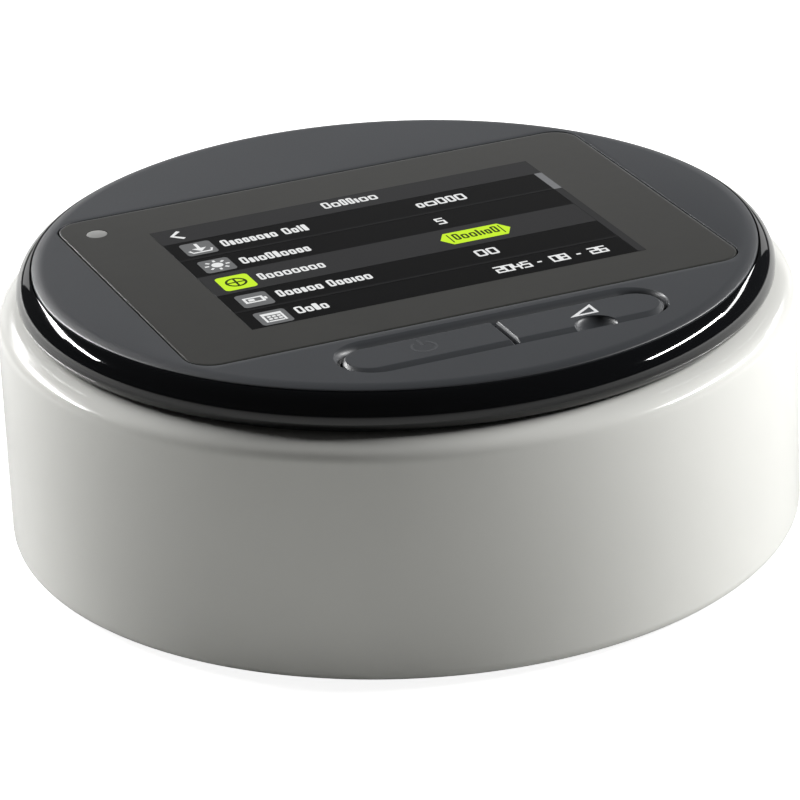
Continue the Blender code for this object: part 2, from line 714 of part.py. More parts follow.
def make_face(machine, satin, lens_dark, smoke):
    """The satin face with its windows, the display lens that lies in it, and the light sensor's window."""
    centre = (LID_RADIUS - RIM_ROUND, TOP_HEIGHT - RIM_DROP)
    low = FACE_LOW
    outline = [(0, TOP_HEIGHT)]
    outline += quarter(centre, (RIM_ROUND, RIM_DROP), 90, rim_angle(FACE_RADIUS), 2)
    outline += [(FACE_RADIUS, low), (0, low)]
    face = turned("face_plate", outline, satin, machine)
    lens = rounded_rectangle(LENS_WIDTH, LENS_DEPTH, LENS_CORNER, (0, LENS_OFFSET))
    window = rounded_rectangle(
        LENS_WIDTH + 2 * LENS_GAP, LENS_DEPTH + 2 * LENS_GAP, LENS_CORNER + LENS_GAP, (0, LENS_OFFSET)
    )
    cut(face, prism("face_windows", [window, pill()], low - OVERRUN, TOP_HEIGHT + OVERRUN, None, machine))
    lead = prism_mesh("pill_lead", [pill_rim()], TOP_HEIGHT - LEAD_DEPTH, TOP_HEIGHT)
    for vert, (x, y) in zip(lead.vertices, pill()):
        vert.co.x, vert.co.y = x, y
    cut(face, add("pill_lead", lead, None, machine))

    glass = prism("display_lens", [lens], low, TOP_HEIGHT, lens_dark, machine)
    hole = [circle(SENSOR_RADIUS + GAP, (SENSOR_X, SENSOR_Y))]
    cut(glass, prism("sensor_hole", hole, low - OVERRUN, TOP_HEIGHT + OVERRUN, None, machine))
    turned("light_sensor", disc(SENSOR_RADIUS, low, TOP_HEIGHT), smoke, machine, (SENSOR_X, SENSOR_Y, 0), BOSS_SIDES)


def make_display(machine, bezel, black):
    """The display panel under the lens, and the frame that holds it up against the lid's deck."""
    centre = (0, LENS_OFFSET)
    panel = rounded_rectangle(PANEL_WIDTH, PANEL_DEPTH, PANEL_CORNER, centre)
    prism("display_panel", [panel], PANEL_LOW, PANEL_TOP, bezel, machine)
    frame_top = DECK_LOW - GAP
    floor = FRAME_LOW + FRAME_FLOOR
    frame = prism(
        "display_frame",
        [rounded_rectangle(PANEL_WIDTH + 2 * FRAME_LIP, PANEL_DEPTH + 2 * FRAME_LIP, FRAME_LIP, centre)],
        FRAME_LOW,
        frame_top,
        black,
        machine,
    )
    pocket = rounded_rectangle(PANEL_WIDTH + 2 * GAP, PANEL_DEPTH + 2 * GAP, PANEL_CORNER + GAP, centre)
    cut(frame, prism("frame_pocket", [pocket], floor, frame_top + OVERRUN, None, machine))
    window = rectangle(PANEL_WIDTH - 2 * FRAME_GRIP, PANEL_DEPTH - 2 * FRAME_GRIP, centre)
    cut(frame, prism("frame_window", [window], FRAME_LOW - OVERRUN, floor + OVERRUN, None, machine))


def make_buttons(machine, satin, silicone, board_green, steel):
    """The two buttons, each with flange and stem, the silicone domes that push them up, and their board."""
    cap_top = TOP_HEIGHT - BUTTON_SINK
    for side, name in ((-1, "power"), (1, "ramp")):
        axis = empty(f"{name}_axis", (PILL_X + side * PILL_LENGTH / 4, PILL_Y, 0), machine)
        outline = [half_pill(side, -BUTTON_GAP)]
        cap = prism(f"{name}_button", outline, FLANGE_TOP - FLANGE_THICKNESS / 2, cap_top, satin, axis)
        soften_top(cap, cap_top)
        if side > 0:
            cut(cap, make_scoop(axis))
        flange = [half_pill(side, FLANGE_REACH)]
        join(cap, prism(f"{name}_flange", flange, FLANGE_LOW, FLANGE_TOP, None, axis))
        stem = [circle(STEM_RADIUS)]
        join(cap, prism(f"{name}_stem", stem, STEM_LOW, FLANGE_LOW + FLANGE_THICKNESS / 2, None, axis))
        dome = [
            (STEM_RADIUS - DOME_WALL, DOME_TOP),
            (STEM_RADIUS, DOME_TOP),
            (DOME_RADIUS, DOME_LOW),
            (DOME_RADIUS - DOME_WALL, DOME_LOW),
        ]
        turned(f"{name}_dome", dome, silicone, axis, sides=BOSS_SIDES)
    front, rear = PILL_Y - KEY_BOARD_FRONT, PILL_Y + KEY_BOARD_REAR
    board = prism(
        "key_board",
        [rectangle(KEY_BOARD_WIDTH, rear - front, (0, (front + rear) / 2))],
        KEY_BOARD_LOW,
        KEY_BOARD_TOP,
        board_green,
        machine,
    )
    places = [(side * KEY_POST_X, key_post_y()) for side in (-1, 1)]
    holes = [circle(PILOT_RADIUS, place, PEG_SIDES) for place in places]
    cut(board, prism("key_board_holes", holes, KEY_BOARD_LOW - OVERRUN, KEY_BOARD_TOP + OVERRUN, None, machine))
    for number, (x, y) in enumerate(places, 1):
        seat = KEY_BOARD_LOW - GAP
        screw(f"key_board_screw_{number}", (x, y, seat), BOARD_SCREW_LENGTH, steel, machine)


def soften_top(cap, top):
    """Rounds the upper edge of a button's cap."""
    form = bmesh.new()
    form.from_mesh(cap.data)
    edges = [edge for edge in form.edges if all(abs(vert.co.z - top) < WELD for vert in edge.verts)]
    bmesh.ops.bevel(form, geom=edges, offset=BUTTON_ROUND, segments=2, profile=0.5, affect="EDGES")
    form.to_mesh(cap.data)
    form.free()


def make_scoop(axis):
    """The tool for the finger scoop in the front edge of the ramp button: a flattened ball."""
    form = bmesh.new()
    bmesh.ops.create_uvsphere(form, u_segments=BOSS_SIDES, v_segments=BOSS_SIDES // 2, radius=SCOOP_RADIUS)
    bmesh.ops.scale(form, vec=(1, SCOOP_REACH / SCOOP_RADIUS, SCOOP_DEPTH / SCOOP_RADIUS), verts=form.verts)
    mesh = bpy.data.meshes.new("scoop")
    form.to_mesh(mesh)
    form.free()
    front = -PILL_HEIGHT / 2 + BUTTON_GAP
    return add("scoop", mesh, None, axis, (0, front, TOP_HEIGHT - BUTTON_SINK))


def make_chassis(machine, black):
    """The inner chassis: a tray screwed up under the shell's ledge, with posts for the boards."""
    chassis = turned("chassis", disc(CHASSIS_RADIUS, CHASSIS_LOW, CHASSIS_TOP), black, machine)
    ears = [circle(CHASSIS_EAR_RADIUS, place, PEG_SIDES) for place in around(LID_SCREW_CIRCLE, LID_SCREW_ANGLE)]
    join(chassis, prism("chassis_ears", ears, CHASSIS_LOW + CHASSIS_THICKNESS / 2, EAR_TOP, None, machine))
    posts = [circle(BOARD_POST_RADIUS, polar(BOARD_POST_CIRCLE, angle), PEG_SIDES) for angle in BOARD_POST_ANGLES]
    top = BOARD_LOW - GAP
    join(chassis, prism("board_posts", posts, CHASSIS_LOW + CHASSIS_THICKNESS / 2, top, None, machine))
    hangers = [circle(BOARD_POST_RADIUS, place, PEG_SIDES) for place in card_posts()]
    hanger_low = CHASSIS_LOW - READER_HANG
    join(chassis, prism("card_hangers", hangers, hanger_low, CHASSIS_LOW + CHASSIS_THICKNESS / 2, None, machine))

    spare = POST_RADIUS + CHASSIS_NOTCH_SPARE
    notch = [circle(spare, place, PEG_SIDES) for place in around(POST_CIRCLE, POST_ANGLE)]
    cut(chassis, prism("chassis_notches", notch, CHASSIS_LOW - OVERRUN, CHASSIS_TOP + OVERRUN, None, machine))
    holes = [circle(PILOT_RADIUS, place, PEG_SIDES) for place in around(LID_SCREW_CIRCLE, LID_SCREW_ANGLE)]
    holes.append(circle(CABLE_HOLE_RADIUS, (CABLE_HOLE_X, 0)))
    cut(chassis, prism("chassis_holes", holes, CHASSIS_LOW - OVERRUN, EAR_TOP + OVERRUN, None, machine))
    pilots = [
        circle(PILOT_RADIUS, polar(BOARD_POST_CIRCLE, angle), PEG_SIDES) for angle in BOARD_POST_ANGLES
    ]
    pilot_low = BOARD_TOP + GAP - BOARD_SCREW_LENGTH - PILOT_SPARE
    cut(chassis, prism("board_pilots", pilots, max(pilot_low, CHASSIS_LOW - OVERRUN), top + OVERRUN, None, machine))
    return chassis


def make_boards(machine, board_green, chip, steel, brass):
    """The main board, cut straight at the front to clear the key board, and what is soldered to it."""
    front = -MAIN_BOARD_FRONT
    reach = math.degrees(math.asin(MAIN_BOARD_FRONT / MAIN_BOARD_RADIUS))
    outline = quarter((0, 0), (MAIN_BOARD_RADIUS, MAIN_BOARD_RADIUS), -reach, 180 + reach, BOSS_SIDES)
    board = prism("main_board", [outline], BOARD_LOW, BOARD_TOP, board_green, machine)
    places = [polar(BOARD_POST_CIRCLE, angle) for angle in BOARD_POST_ANGLES]
    holes = [circle(PILOT_RADIUS, place, PEG_SIDES) for place in places]
    cut(board, prism("main_board_holes", holes, BOARD_LOW - OVERRUN, BOARD_TOP + OVERRUN, None, machine))
    for number, (x, y) in enumerate(places, 1):
        screw(
            f"main_board_screw_{number}",
            (x, y, BOARD_TOP + GAP),
            BOARD_SCREW_LENGTH,
            steel,
            machine,
            up=False,
        )
    floor = CHIP_LOW
    square = [rectangle(PROCESSOR_SIZE, PROCESSOR_SIZE)]
    prism("processor", square, floor, floor + PROCESSOR_HEIGHT, chip, machine)
    socket = [rectangle(SOCKET_WIDTH, SOCKET_DEPTH, (0, front + SOCKET_DEPTH))]
    prism("ribbon_socket", socket, floor, floor + SOCKET_HEIGHT, chip, machine)
    turned("buzzer", disc(BUZZER_RADIUS, floor, floor + BUZZER_HEIGHT), chip, machine, (-CHIP_X, 0, 0), BOSS_SIDES)
    turned("clock_cell", disc(CELL_RADIUS, floor, floor + CELL_HEIGHT), brass, machine, (CHIP_X, 0, 0), BOSS_SIDES)
    sensor = [rectangle(SENSOR_BLOCK, SENSOR_BLOCK, (0, CHIP_Y))]
    prism("pressure_sensor", sensor, floor, floor + SENSOR_BLOCK_HEIGHT, chip, machine)


def volute(grow):
    """Outline of the blower's scroll: its radius grows evenly round to the duct, which leaves along +Y."""
    points = []
    for step in range(VOLUTE_STEPS + 1):
        share = step / VOLUTE_STEPS
        angle = math.radians(TONGUE_ANGLE + (360 - TONGUE_ANGLE) * share)
        radius = VOLUTE_START + VOLUTE_GROWTH * share + grow
        points.append((radius * math.cos(angle), radius * math.sin(angle)))
    return points


def duct_outline(grow, length):
    """Outline of the straight duct that runs from the scroll's widest place along +Y."""
    half = DUCT_RADIUS + VOLUTE_WALL + grow
    return [(DUCT_OFFSET - half, 0), (DUCT_OFFSET + half, 0), (DUCT_OFFSET + half, length), (DUCT_OFFSET - half, length)]


def make_blower_half(name, low, high, blower, material):
    """One half of the blower's housing: the scroll's outside less its hollow and the duct's bore."""
    half = prism(name, [volute(0)], low, high, material, blower)
    join(half, prism(f"{name}_duct", [duct_outline(0, DUCT_LENGTH)], low, high, None, blower))
    if name == "blower_base":
        lugs = []
        for angle in LUG_ANGLES:
            x, y = polar(lug_distance(angle), angle)
            lugs.append(circle(LUG_RADIUS, (x, y)))
        join(half, prism("blower_lugs", lugs, low, low + LUG_THICKNESS, None, blower))
    cut(half, prism(f"{name}_hollow", [volute(-VOLUTE_WALL)], CAVITY_LOW, CAVITY_TOP, None, blower))
    bore = turned(
        f"{name}_bore",
        disc(DUCT_RADIUS - GAP, 0, DUCT_LENGTH + OVERRUN),
        None,
        blower,
        sides=TUBE_SIDES,
    )
    lay_along_y(bore, (DUCT_OFFSET, 0, OUTLET_Z))
    cut(half, bore)
    return half


def lug_distance(angle):
    """Distance of a lug's middle from the blower's axis: just outside the scroll at that angle."""
    share = (angle - TONGUE_ANGLE) / (360 - TONGUE_ANGLE)
    return VOLUTE_START + VOLUTE_GROWTH * share + LUG_REACH


def make_blower(blower, dark, rubber, foam, steel, copper, white):
    """The blower: housing halves, impeller on its shaft, bearings, motor and rubber dampers."""
    split = OUTLET_Z
    base = make_blower_half("blower_base", VOLUTE_LOW, split - GAP / 2, blower, dark)
    seat = [circle(BEARING_RADIUS + GAP)]
    cut(base, prism("bearing_seat", seat, VOLUTE_LOW - OVERRUN, CAVITY_LOW + OVERRUN, None, blower))
    top = make_blower_half("blower_top", split + GAP / 2, VOLUTE_TOP, blower, dark)
    eye = [circle(EYE_RADIUS, sides=TUBE_SIDES)]
    cut(top, prism("blower_eye", eye, CAVITY_TOP - OVERRUN, VOLUTE_TOP + OVERRUN, None, blower))

    for number, angle in enumerate(LUG_ANGLES, 1):
        x, y = polar(lug_distance(angle), angle)
        post = disc(DAMPER_RADIUS, BASE_TOP + GAP, VOLUTE_LOW - GAP)
        turned(f"blower_damper_{number}", post, rubber, blower, (x, y, 0), BOSS_SIDES)

    hub_low = CAVITY_LOW + IMPELLER_FLOOR_GAP
    hub_top = hub_low + IMPELLER_HUB_HEIGHT
    disc_top = hub_low + IMPELLER_DISC
    bore = SHAFT_RADIUS + GAP
    outline = [
        (bore, hub_top),
        (IMPELLER_HUB_RADIUS * HUB_TOP_SHARE, hub_top),
        (IMPELLER_HUB_RADIUS, (hub_top + disc_top) / 2),
        (IMPELLER_HUB_RADIUS * HUB_FOOT_SHARE, disc_top),
        (IMPELLER_RADIUS, disc_top),
        (IMPELLER_RADIUS, hub_low),
        (bore, hub_low),
    ]
    impeller = turned("impeller", outline, white, blower, sides=TUBE_SIDES)
    join(impeller, prism("blades", blade_outlines(), hub_low + IMPELLER_DISC / 2, hub_low + BLADE_HEIGHT, None, blower))

    can_low = BASE_TOP + CAN_CLEARANCE
    can_top = VOLUTE_LOW - GAP
    can = [
        (0, can_low + CAN_WALL),
        (CAN_RADIUS - CAN_WALL, can_low + CAN_WALL),
        (CAN_RADIUS - CAN_WALL, can_top),
        (CAN_RADIUS, can_top),
        (CAN_RADIUS, can_low),
        (0, can_low),
    ]
    turned("motor_can", can, steel, blower, sides=TUBE_SIDES)
    lower = can_low + CAN_WALL + GAP
    shaft_bore = SHAFT_RADIUS + RUNNING_GAP
    turned("bearing_lower", ring(shaft_bore, BEARING_RADIUS, lower, lower + BEARING_HEIGHT), steel, blower, sides=BOSS_SIDES)
    upper = CAVITY_LOW - BEARING_HEIGHT
    turned("bearing_upper", ring(shaft_bore, BEARING_RADIUS, upper, CAVITY_LOW), steel, blower, sides=BOSS_SIDES)
    turned("motor_shaft", disc(SHAFT_RADIUS, lower, hub_top + SHAFT_OVER_HUB), steel, blower, sides=BOSS_SIDES)
    rotor_low = lower + BEARING_HEIGHT + GAP
    rotor_top = min(rotor_low + ROTOR_HEIGHT, upper - GAP)
    turned("motor_magnet", ring(bore, ROTOR_RADIUS, rotor_low, rotor_top), dark, blower, sides=BOSS_SIDES)
    inner = ROTOR_RADIUS + STATOR_GAP
    turned("motor_stator", ring(inner, inner + STATOR_THICKNESS, lower, rotor_top), copper, blower, sides=BOSS_SIDES)
    pad = ring(FOAM_EYE_RADIUS, FOAM_RADIUS, VOLUTE_TOP + GAP, CHASSIS_LOW - GAP)
    turned("muffler_foam", pad, foam, blower, sides=BOSS_SIDES)


def blade_outlines():
    """Outlines of the impeller's blades, swept back evenly from their inner to their outer end."""
    outlines = []
    for index in range(BLADE_COUNT):
        sides = ([], [])
        for step in range(BLADE_STEPS + 1):
            share = step / BLADE_STEPS
            radius = BLADE_START + (IMPELLER_RADIUS - BLADE_START) * share
            angle = math.radians(360 * index / BLADE_COUNT - BLADE_SWEEP * share)
            for points, half in zip(sides, (-1, 1)):
                shift = half * BLADE_THICKNESS / 2 / radius / BLADE_SLANT_SHARE
                points.append((radius * math.cos(angle + shift), radius * math.sin(angle + shift)))
        outlines.append(sides[0] + sides[1][::-1])
    return outlines


def make_outlet(machine, white, silicone):
    """The air outlet in the back, and the bellows that joins it to the blower and widens towards it."""
    root = OUTLET_ROOT_RADIUS
    flange_front = BOSS_REAR_Y - GAP
    flange_rear = flange_front - OUTLET_FLANGE_THICKNESS
    spigot = OUTLET_BORE_RADIUS + 2 * BELLOWS_WALL
    outline = [
        (OUTLET_BORE_RADIUS, OUTLET_END_Y),
        (OUTLET_TIP_RADIUS - OUTLET_TIP_ROUND, OUTLET_END_Y),
        (OUTLET_TIP_RADIUS, OUTLET_END_Y - OUTLET_TIP_ROUND),
        (root, BOSS_FACE_Y),
        (root, flange_front),
        (OUTLET_FLANGE_RADIUS, flange_front),
        (OUTLET_FLANGE_RADIUS, flange_rear),
        (spigot, flange_rear),
        (spigot, SPIGOT_Y),
        (OUTLET_BORE_RADIUS, SPIGOT_Y),
    ]
    outlet = turned("air_outlet", outline, white, machine, sides=TUBE_SIDES)
    lay_along_y(outlet, (0, 0, OUTLET_Z))

    low, high = DUCT_LENGTH + GAP, SPIGOT_Y - GAP
    pitch = (high - low) / (BELLOWS_RIBS + 1)
    top = OUTLET_BORE_RADIUS - RUNNING_GAP
    root = DUCT_RADIUS + BELLOWS_WALL
    slope = (top - root) / (high - low)
    wall = [(top - BELLOWS_WALL, high), (top, high), (top - slope * pitch / 2, high - pitch / 2)]
    for index in range(BELLOWS_RIBS):
        fall = pitch * (index + 1)
        wall.append((top - slope * fall + BELLOWS_RIB, high - fall))
        wall.append((top - slope * (fall + pitch / 2), high - fall - pitch / 2))
    wall += [(root, low), (DUCT_RADIUS, low)]
    bellows = turned("outlet_bellows", wall, silicone, machine, sides=BOSS_SIDES)
    lay_along_y(bellows, (BLOWER_X + DUCT_OFFSET, 0, OUTLET_Z))


def make_inlet(machine, white, foam, dark):
    """The filter in its tray behind the back wall, and the louvred cover that pulls off with it."""
    turn = empty("filter_axis", (0, 0, FILTER_Z), machine)
    face_out(turn, FILTER_ANGLE)
    half_tray = FILTER_WIDTH / 2 + GAP + TRAY_WALL
    tray_front = math.sqrt((SHELL_INNER - GAP) ** 2 - half_tray ** 2)
    filter_front = tray_front - GAP
    filter_back = filter_front - FILTER_DEPTH
    tray_back = filter_back - GAP - TRAY_BACK
    half_height = FILTER_HEIGHT / 2 + GAP + TRAY_WALL
    tray = prism(
        "filter_tray",
        [rectangle(tray_front - tray_back, 2 * half_tray, ((tray_front + tray_back) / 2, 0))],
        -half_height,
        half_height,
        dark,
        turn,
    )
    depth = tray_front - filter_back + GAP + OVERRUN
    pocket = rectangle(depth, FILTER_WIDTH + 2 * GAP, (filter_back - GAP + depth / 2, 0))
    cut(tray, prism("tray_pocket", [pocket], -FILTER_HEIGHT / 2 - GAP, FILTER_HEIGHT / 2 + GAP, None, turn))
    inner_width = FILTER_WIDTH - 2 * TRAY_BAR
    pitch = (inner_width + TRAY_BAR) / (TRAY_BARS + 1)
    middle = tray_back + TRAY_BACK / 2
    gaps = [
        rectangle(TRAY_BACK + 2 * OVERRUN, pitch - TRAY_BAR, (middle, -inner_width / 2 - TRAY_BAR / 2 + pitch * (i + 0.5)))
        for i in range(TRAY_BARS + 1)
    ]
    reach = FILTER_HEIGHT / 2 - TRAY_BAR
    cut(tray, prism("tray_gaps", gaps, -reach, reach, None, turn))

    block = rectangle(FILTER_DEPTH, FILTER_WIDTH, ((filter_front + filter_back) / 2, 0))
    prism("air_filter", [block], -FILTER_HEIGHT / 2, FILTER_HEIGHT / 2, foam, turn)

    spread = math.degrees(math.asin(COVER_WIDTH / 2 / BODY_RADIUS))
    outer = quarter((0, 0), (BODY_RADIUS, BODY_RADIUS), -spread, spread, COVER_STEPS)
    inner_radius = BODY_RADIUS - COVER_THICKNESS
    spread = math.degrees(math.asin(COVER_WIDTH / 2 / inner_radius))
    inner = quarter((0, 0), (inner_radius, inner_radius), spread, -spread, COVER_STEPS)
    cover = prism("filter_cover", [outer + inner], -COVER_HEIGHT / 2, COVER_HEIGHT / 2, white, turn)
    louvre = [rectangle(BODY_RADIUS, COVER_WIDTH - 2 * LOUVRE_MARGIN, (BODY_RADIUS, 0))]
    step = (COVER_HEIGHT - 2 * LOUVRE_MARGIN + LOUVRE_HEIGHT) / LOUVRE_COUNT
    first = -(LOUVRE_COUNT - 1) / 2 * step
    for index in range(LOUVRE_COUNT):
        height = first + index * step
        low, high = height - LOUVRE_HEIGHT / 2, height + LOUVRE_HEIGHT / 2
        cut(cover, prism(f"louvre_{index}", louvre, low, high, None, turn))


def make_jack(machine, dark):
    """The DC power inlet: a block inside the wall, with a nose through it and a pin in its mouth."""
    turn = empty("jack_axis", (0, 0, JACK_Z), machine)
    face_out(turn, JACK_ANGLE)
    front = math.sqrt((SHELL_INNER - GAP) ** 2 - (JACK_WIDTH / 2) ** 2)
    block = rectangle(JACK_DEPTH, JACK_WIDTH, (front - JACK_DEPTH / 2, 0))
    jack = prism("dc_jack", [block], -JACK_HEIGHT / 2, JACK_HEIGHT / 2, dark, turn)
    end = BODY_RADIUS - JACK_RECESS
    nose = turned("jack_nose", disc(JACK_NOSE_RADIUS, front - JACK_DEPTH / 2, end), None, turn, sides=BOSS_SIDES)
    nose.rotation_euler = (0, math.radians(90), 0)
    join(jack, nose)
    mouth = ring(JACK_PIN_RADIUS, JACK_MOUTH_RADIUS, end - JACK_MOUTH_DEPTH, end + OVERRUN)
    socket = turned("jack_mouth", mouth, None, turn, sides=BOSS_SIDES)
    socket.rotation_euler = (0, math.radians(90), 0)
    cut(jack, socket)


def card_middle():
    """Height of the memory card's middle, set by how its reader hangs under the chassis."""
    board_low = CHASSIS_LOW - READER_HANG - GAP - BOARD_THICKNESS
    return board_low - GAP - READER_WALL - GAP - CARD_THICKNESS / 2


def card_posts():
    """Where the chassis holds the card reader's board."""
    x = BODY_RADIUS - CARD_RECESS - CARD_LENGTH + READER_LENGTH / 2
    y = CARD_WIDTH / 2 - BOARD_POST_RADIUS
    return [(x, -y), (x, y)]


def make_card(machine, board_green, steel, dark):
    """The memory card, which pulls out of the right side, its reader, and the reader's small board."""
    end = BODY_RADIUS - CARD_RECESS
    start = end - CARD_LENGTH
    middle = card_middle()
    half = CARD_THICKNESS / 2
    reader_width = CARD_WIDTH + 2 * GAP + 2 * READER_WALL
    reader_x = start - GAP - READER_WALL + READER_LENGTH / 2
    reader = prism(
        "card_reader",
        [rectangle(READER_LENGTH, reader_width, (reader_x, 0))],
        middle - half - GAP - READER_WALL,
        middle + half + GAP + READER_WALL,
        steel,
        machine,
    )
    room = READER_LENGTH + OVERRUN
    hollow = rectangle(room, CARD_WIDTH + 2 * GAP, (start - GAP + room / 2, 0))
    cut(reader, prism("reader_hollow", [hollow], middle - half - GAP, middle + half + GAP, None, machine))
    board_low = middle + half + 2 * GAP + READER_WALL
    board = [rectangle(READER_LENGTH, CARD_WIDTH + 2 * CARD_BOARD_SPARE, (reader_x, 0))]
    prism("card_board", board, board_low, board_low + BOARD_THICKNESS, board_green, machine)
    half_width = CARD_WIDTH / 2
    outline = [
        (start + CARD_NOTCH, -half_width),
        (end, -half_width),
        (end, half_width),
        (start, half_width),
        (start, -half_width + CARD_NOTCH),
    ]
    prism("memory_card", [outline], middle - half, middle + half, dark, machine)


def make_machine():
    """Builds every piece under one empty."""
    clear_scene()
    white = finish("white_plastic", (0.80, 0.80, 0.77), 0.32)
    gloss = finish("gloss_black", (0.010, 0.011, 0.014), 0.12)
    satin = finish("satin_grey", (0.085, 0.090, 0.100), 0.45)
    lens_dark = finish("lens_dark", (0.060, 0.062, 0.060), 0.15)
    smoke = finish("smoked_window", (0.30, 0.31, 0.32), 0.35)
    bezel = finish("display_metal", (0.05, 0.05, 0.05), 0.4, 0.6)
    black = finish("black_plastic", (0.02, 0.02, 0.02), 0.5)
    dark = finish("dark_plastic", (0.06, 0.06, 0.065), 0.5)
    rubber = finish("rubber", (0.03, 0.03, 0.03), 0.8)
    silicone = finish("silicone", (0.45, 0.45, 0.44), 0.6)
    foam = finish("foam", (0.16, 0.16, 0.17), 0.95)
    steel = finish("steel", (0.55, 0.55, 0.56), 0.3, 1.0)
    copper = finish("copper", (0.60, 0.28, 0.14), 0.35, 1.0)
    brass = finish("nickel", (0.66, 0.64, 0.60), 0.3, 1.0)
    board_green = finish("board", (0.02, 0.14, 0.06), 0.5)
    chip = finish("chip", (0.015, 0.015, 0.016), 0.55)

    machine = empty("machine", (0, MACHINE_Y, 0))
    blower = empty("blower", (BLOWER_X, 0, 0), machine)
    make_shell(machine, white)
    make_base(machine, white, rubber, steel)
    make_top_cover(machine, gloss, steel)
    make_face(machine, satin, lens_dark, smoke)
    make_display(machine, bezel, black)
    make_buttons(machine, satin, silicone, board_green, steel)
    make_chassis(machine, black)
    make_boards(machine, board_green, chip, steel, brass)
    make_blower(blower, dark, rubber, foam, steel, copper, white)
    make_outlet(machine, white, silicone)
    make_inlet(machine, white, foam, dark)
    make_jack(machine, dark)
    make_card(machine, board_green, steel, dark)


make_machine()
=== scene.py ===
"""Looks of a round CPAP machine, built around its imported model.

Lengths in the functions are millimetres from the drum's axis, with the ground at zero, and become
metres in the row frame when a piece is made.
"""

import json
import math

import bmesh
import bpy
import numpy as np
from mathutils import Matrix, Vector
from mathutils.geometry import tessellate_polygon


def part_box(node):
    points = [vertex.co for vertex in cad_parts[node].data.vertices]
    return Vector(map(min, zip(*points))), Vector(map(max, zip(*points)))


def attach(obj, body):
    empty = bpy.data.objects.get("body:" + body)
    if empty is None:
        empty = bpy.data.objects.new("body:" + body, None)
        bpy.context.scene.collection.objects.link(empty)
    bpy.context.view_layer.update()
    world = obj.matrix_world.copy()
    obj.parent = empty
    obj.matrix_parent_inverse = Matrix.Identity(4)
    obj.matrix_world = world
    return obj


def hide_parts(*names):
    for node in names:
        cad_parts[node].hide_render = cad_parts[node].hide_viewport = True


bl_info = {
    "name": "Round CPAP machine",
    "version": (1, 0, 0),
    "blender": (4, 5, 0),
    "location": "View3D > Sidebar > Machine",
    "description": "Builds the visible pieces, finishes and stage of a round CPAP machine",
    "category": "Object",
}

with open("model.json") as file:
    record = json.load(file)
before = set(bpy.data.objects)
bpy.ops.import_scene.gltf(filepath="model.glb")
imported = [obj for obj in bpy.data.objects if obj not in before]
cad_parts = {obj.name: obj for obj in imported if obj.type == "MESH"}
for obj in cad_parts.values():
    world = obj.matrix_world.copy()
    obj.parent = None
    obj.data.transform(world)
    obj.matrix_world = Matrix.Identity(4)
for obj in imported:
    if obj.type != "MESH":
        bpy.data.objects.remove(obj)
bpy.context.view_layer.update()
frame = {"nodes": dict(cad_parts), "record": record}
FACE_LOW, FACE_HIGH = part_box("face_plate")

MM = 0.001
AXIS_Y = (FACE_LOW.y + FACE_HIGH.y) / 2
TOP = FACE_HIGH.z / MM
FACE_BOTTOM = FACE_LOW.z / MM
WELD = 1e-7  # metres
SIDES = 240
FINE_SIDES = 96
SHARP_ANGLE = 32  # degrees

# Directions in degrees from the drum's right side, and heights of what sits in its wall.
FILTER_ANGLE = 127
JACK_ANGLE = 45
OUTLET_Z = 22.0
JACK_Z = 18.0

# Radii that several pieces share.
RIM_RADIUS = 67.0
LID_SEAT = 64.3
LID_WALL = 62.3
CUT_FROM, CUT_TO = 60, 80


def linear(code):
    """An sRGB hex colour as linear red, green and blue: c / 12.92, or ((c + 0.055) / 1.055) ** 2.4."""
    channels = [int(code[i : i + 2], 16) / 255 for i in (1, 3, 5)]
    return tuple(c / 12.92 if c <= 0.04045 else ((c + 0.055) / 1.055) ** 2.4 for c in channels)


# Outlines and profiles


def arc(centre, radii, start, end, steps):
    """Points of an ellipse's arc: centre + (a cos t, b sin t), with t from start to end in degrees."""
    t = np.radians(np.linspace(start, end, steps + 1))
    return np.column_stack([centre[0] + radii[0] * np.cos(t), centre[1] + radii[1] * np.sin(t)])


def bezier(a, b, c, d, steps):
    """Points of a cubic curve: (1-t)^3 a + 3 (1-t)^2 t b + 3 (1-t) t^2 c + t^3 d."""
    t = np.linspace(0, 1, steps + 1)[:, None]
    a, b, c, d = map(np.array, (a, b, c, d))
    return (1 - t) ** 3 * a + 3 * (1 - t) ** 2 * t * b + 3 * (1 - t) * t**2 * c + t**3 * d


def circle(radius, centre=(0, 0), sides=FINE_SIDES):
    """A closed ring of points: centre + radius (cos t, sin t)."""
    t = np.linspace(0, 2 * np.pi, sides, endpoint=False)
    return np.column_stack([centre[0] + radius * np.cos(t), centre[1] + radius * np.sin(t)])


def box_outline(x0, x1, y0, y1, corners, steps=10):
    """A rectangle with a quarter circle in each corner. The corners' radii go rear right, rear left,
    front left, front right."""
    if np.isscalar(corners):
        corners = [corners] * 4
    centres = [(x1, y1, -1, -1), (x0, y1, 1, -1), (x0, y0, 1, 1), (x1, y0, -1, 1)]
    parts = []
    for index, ((x, y, sx, sy), r) in enumerate(zip(centres, corners)):
        parts.append(arc((x + sx * r, y + sy * r), (r, r), 90 * index, 90 * index + 90, steps))
    return np.concatenate(parts)


def stroke(points, width):
    """The outline of a line of some width: each point is shifted half the width to either side."""
    points = np.array(points, float)
    along = np.gradient(points, axis=0)
    along /= np.linalg.norm(along, axis=1)[:, None]
    side = np.column_stack([-along[:, 1], along[:, 0]]) * width / 2
    return np.concatenate([points + side, (points - side)[::-1]])


# Surfaces: each is a pair of points and faces


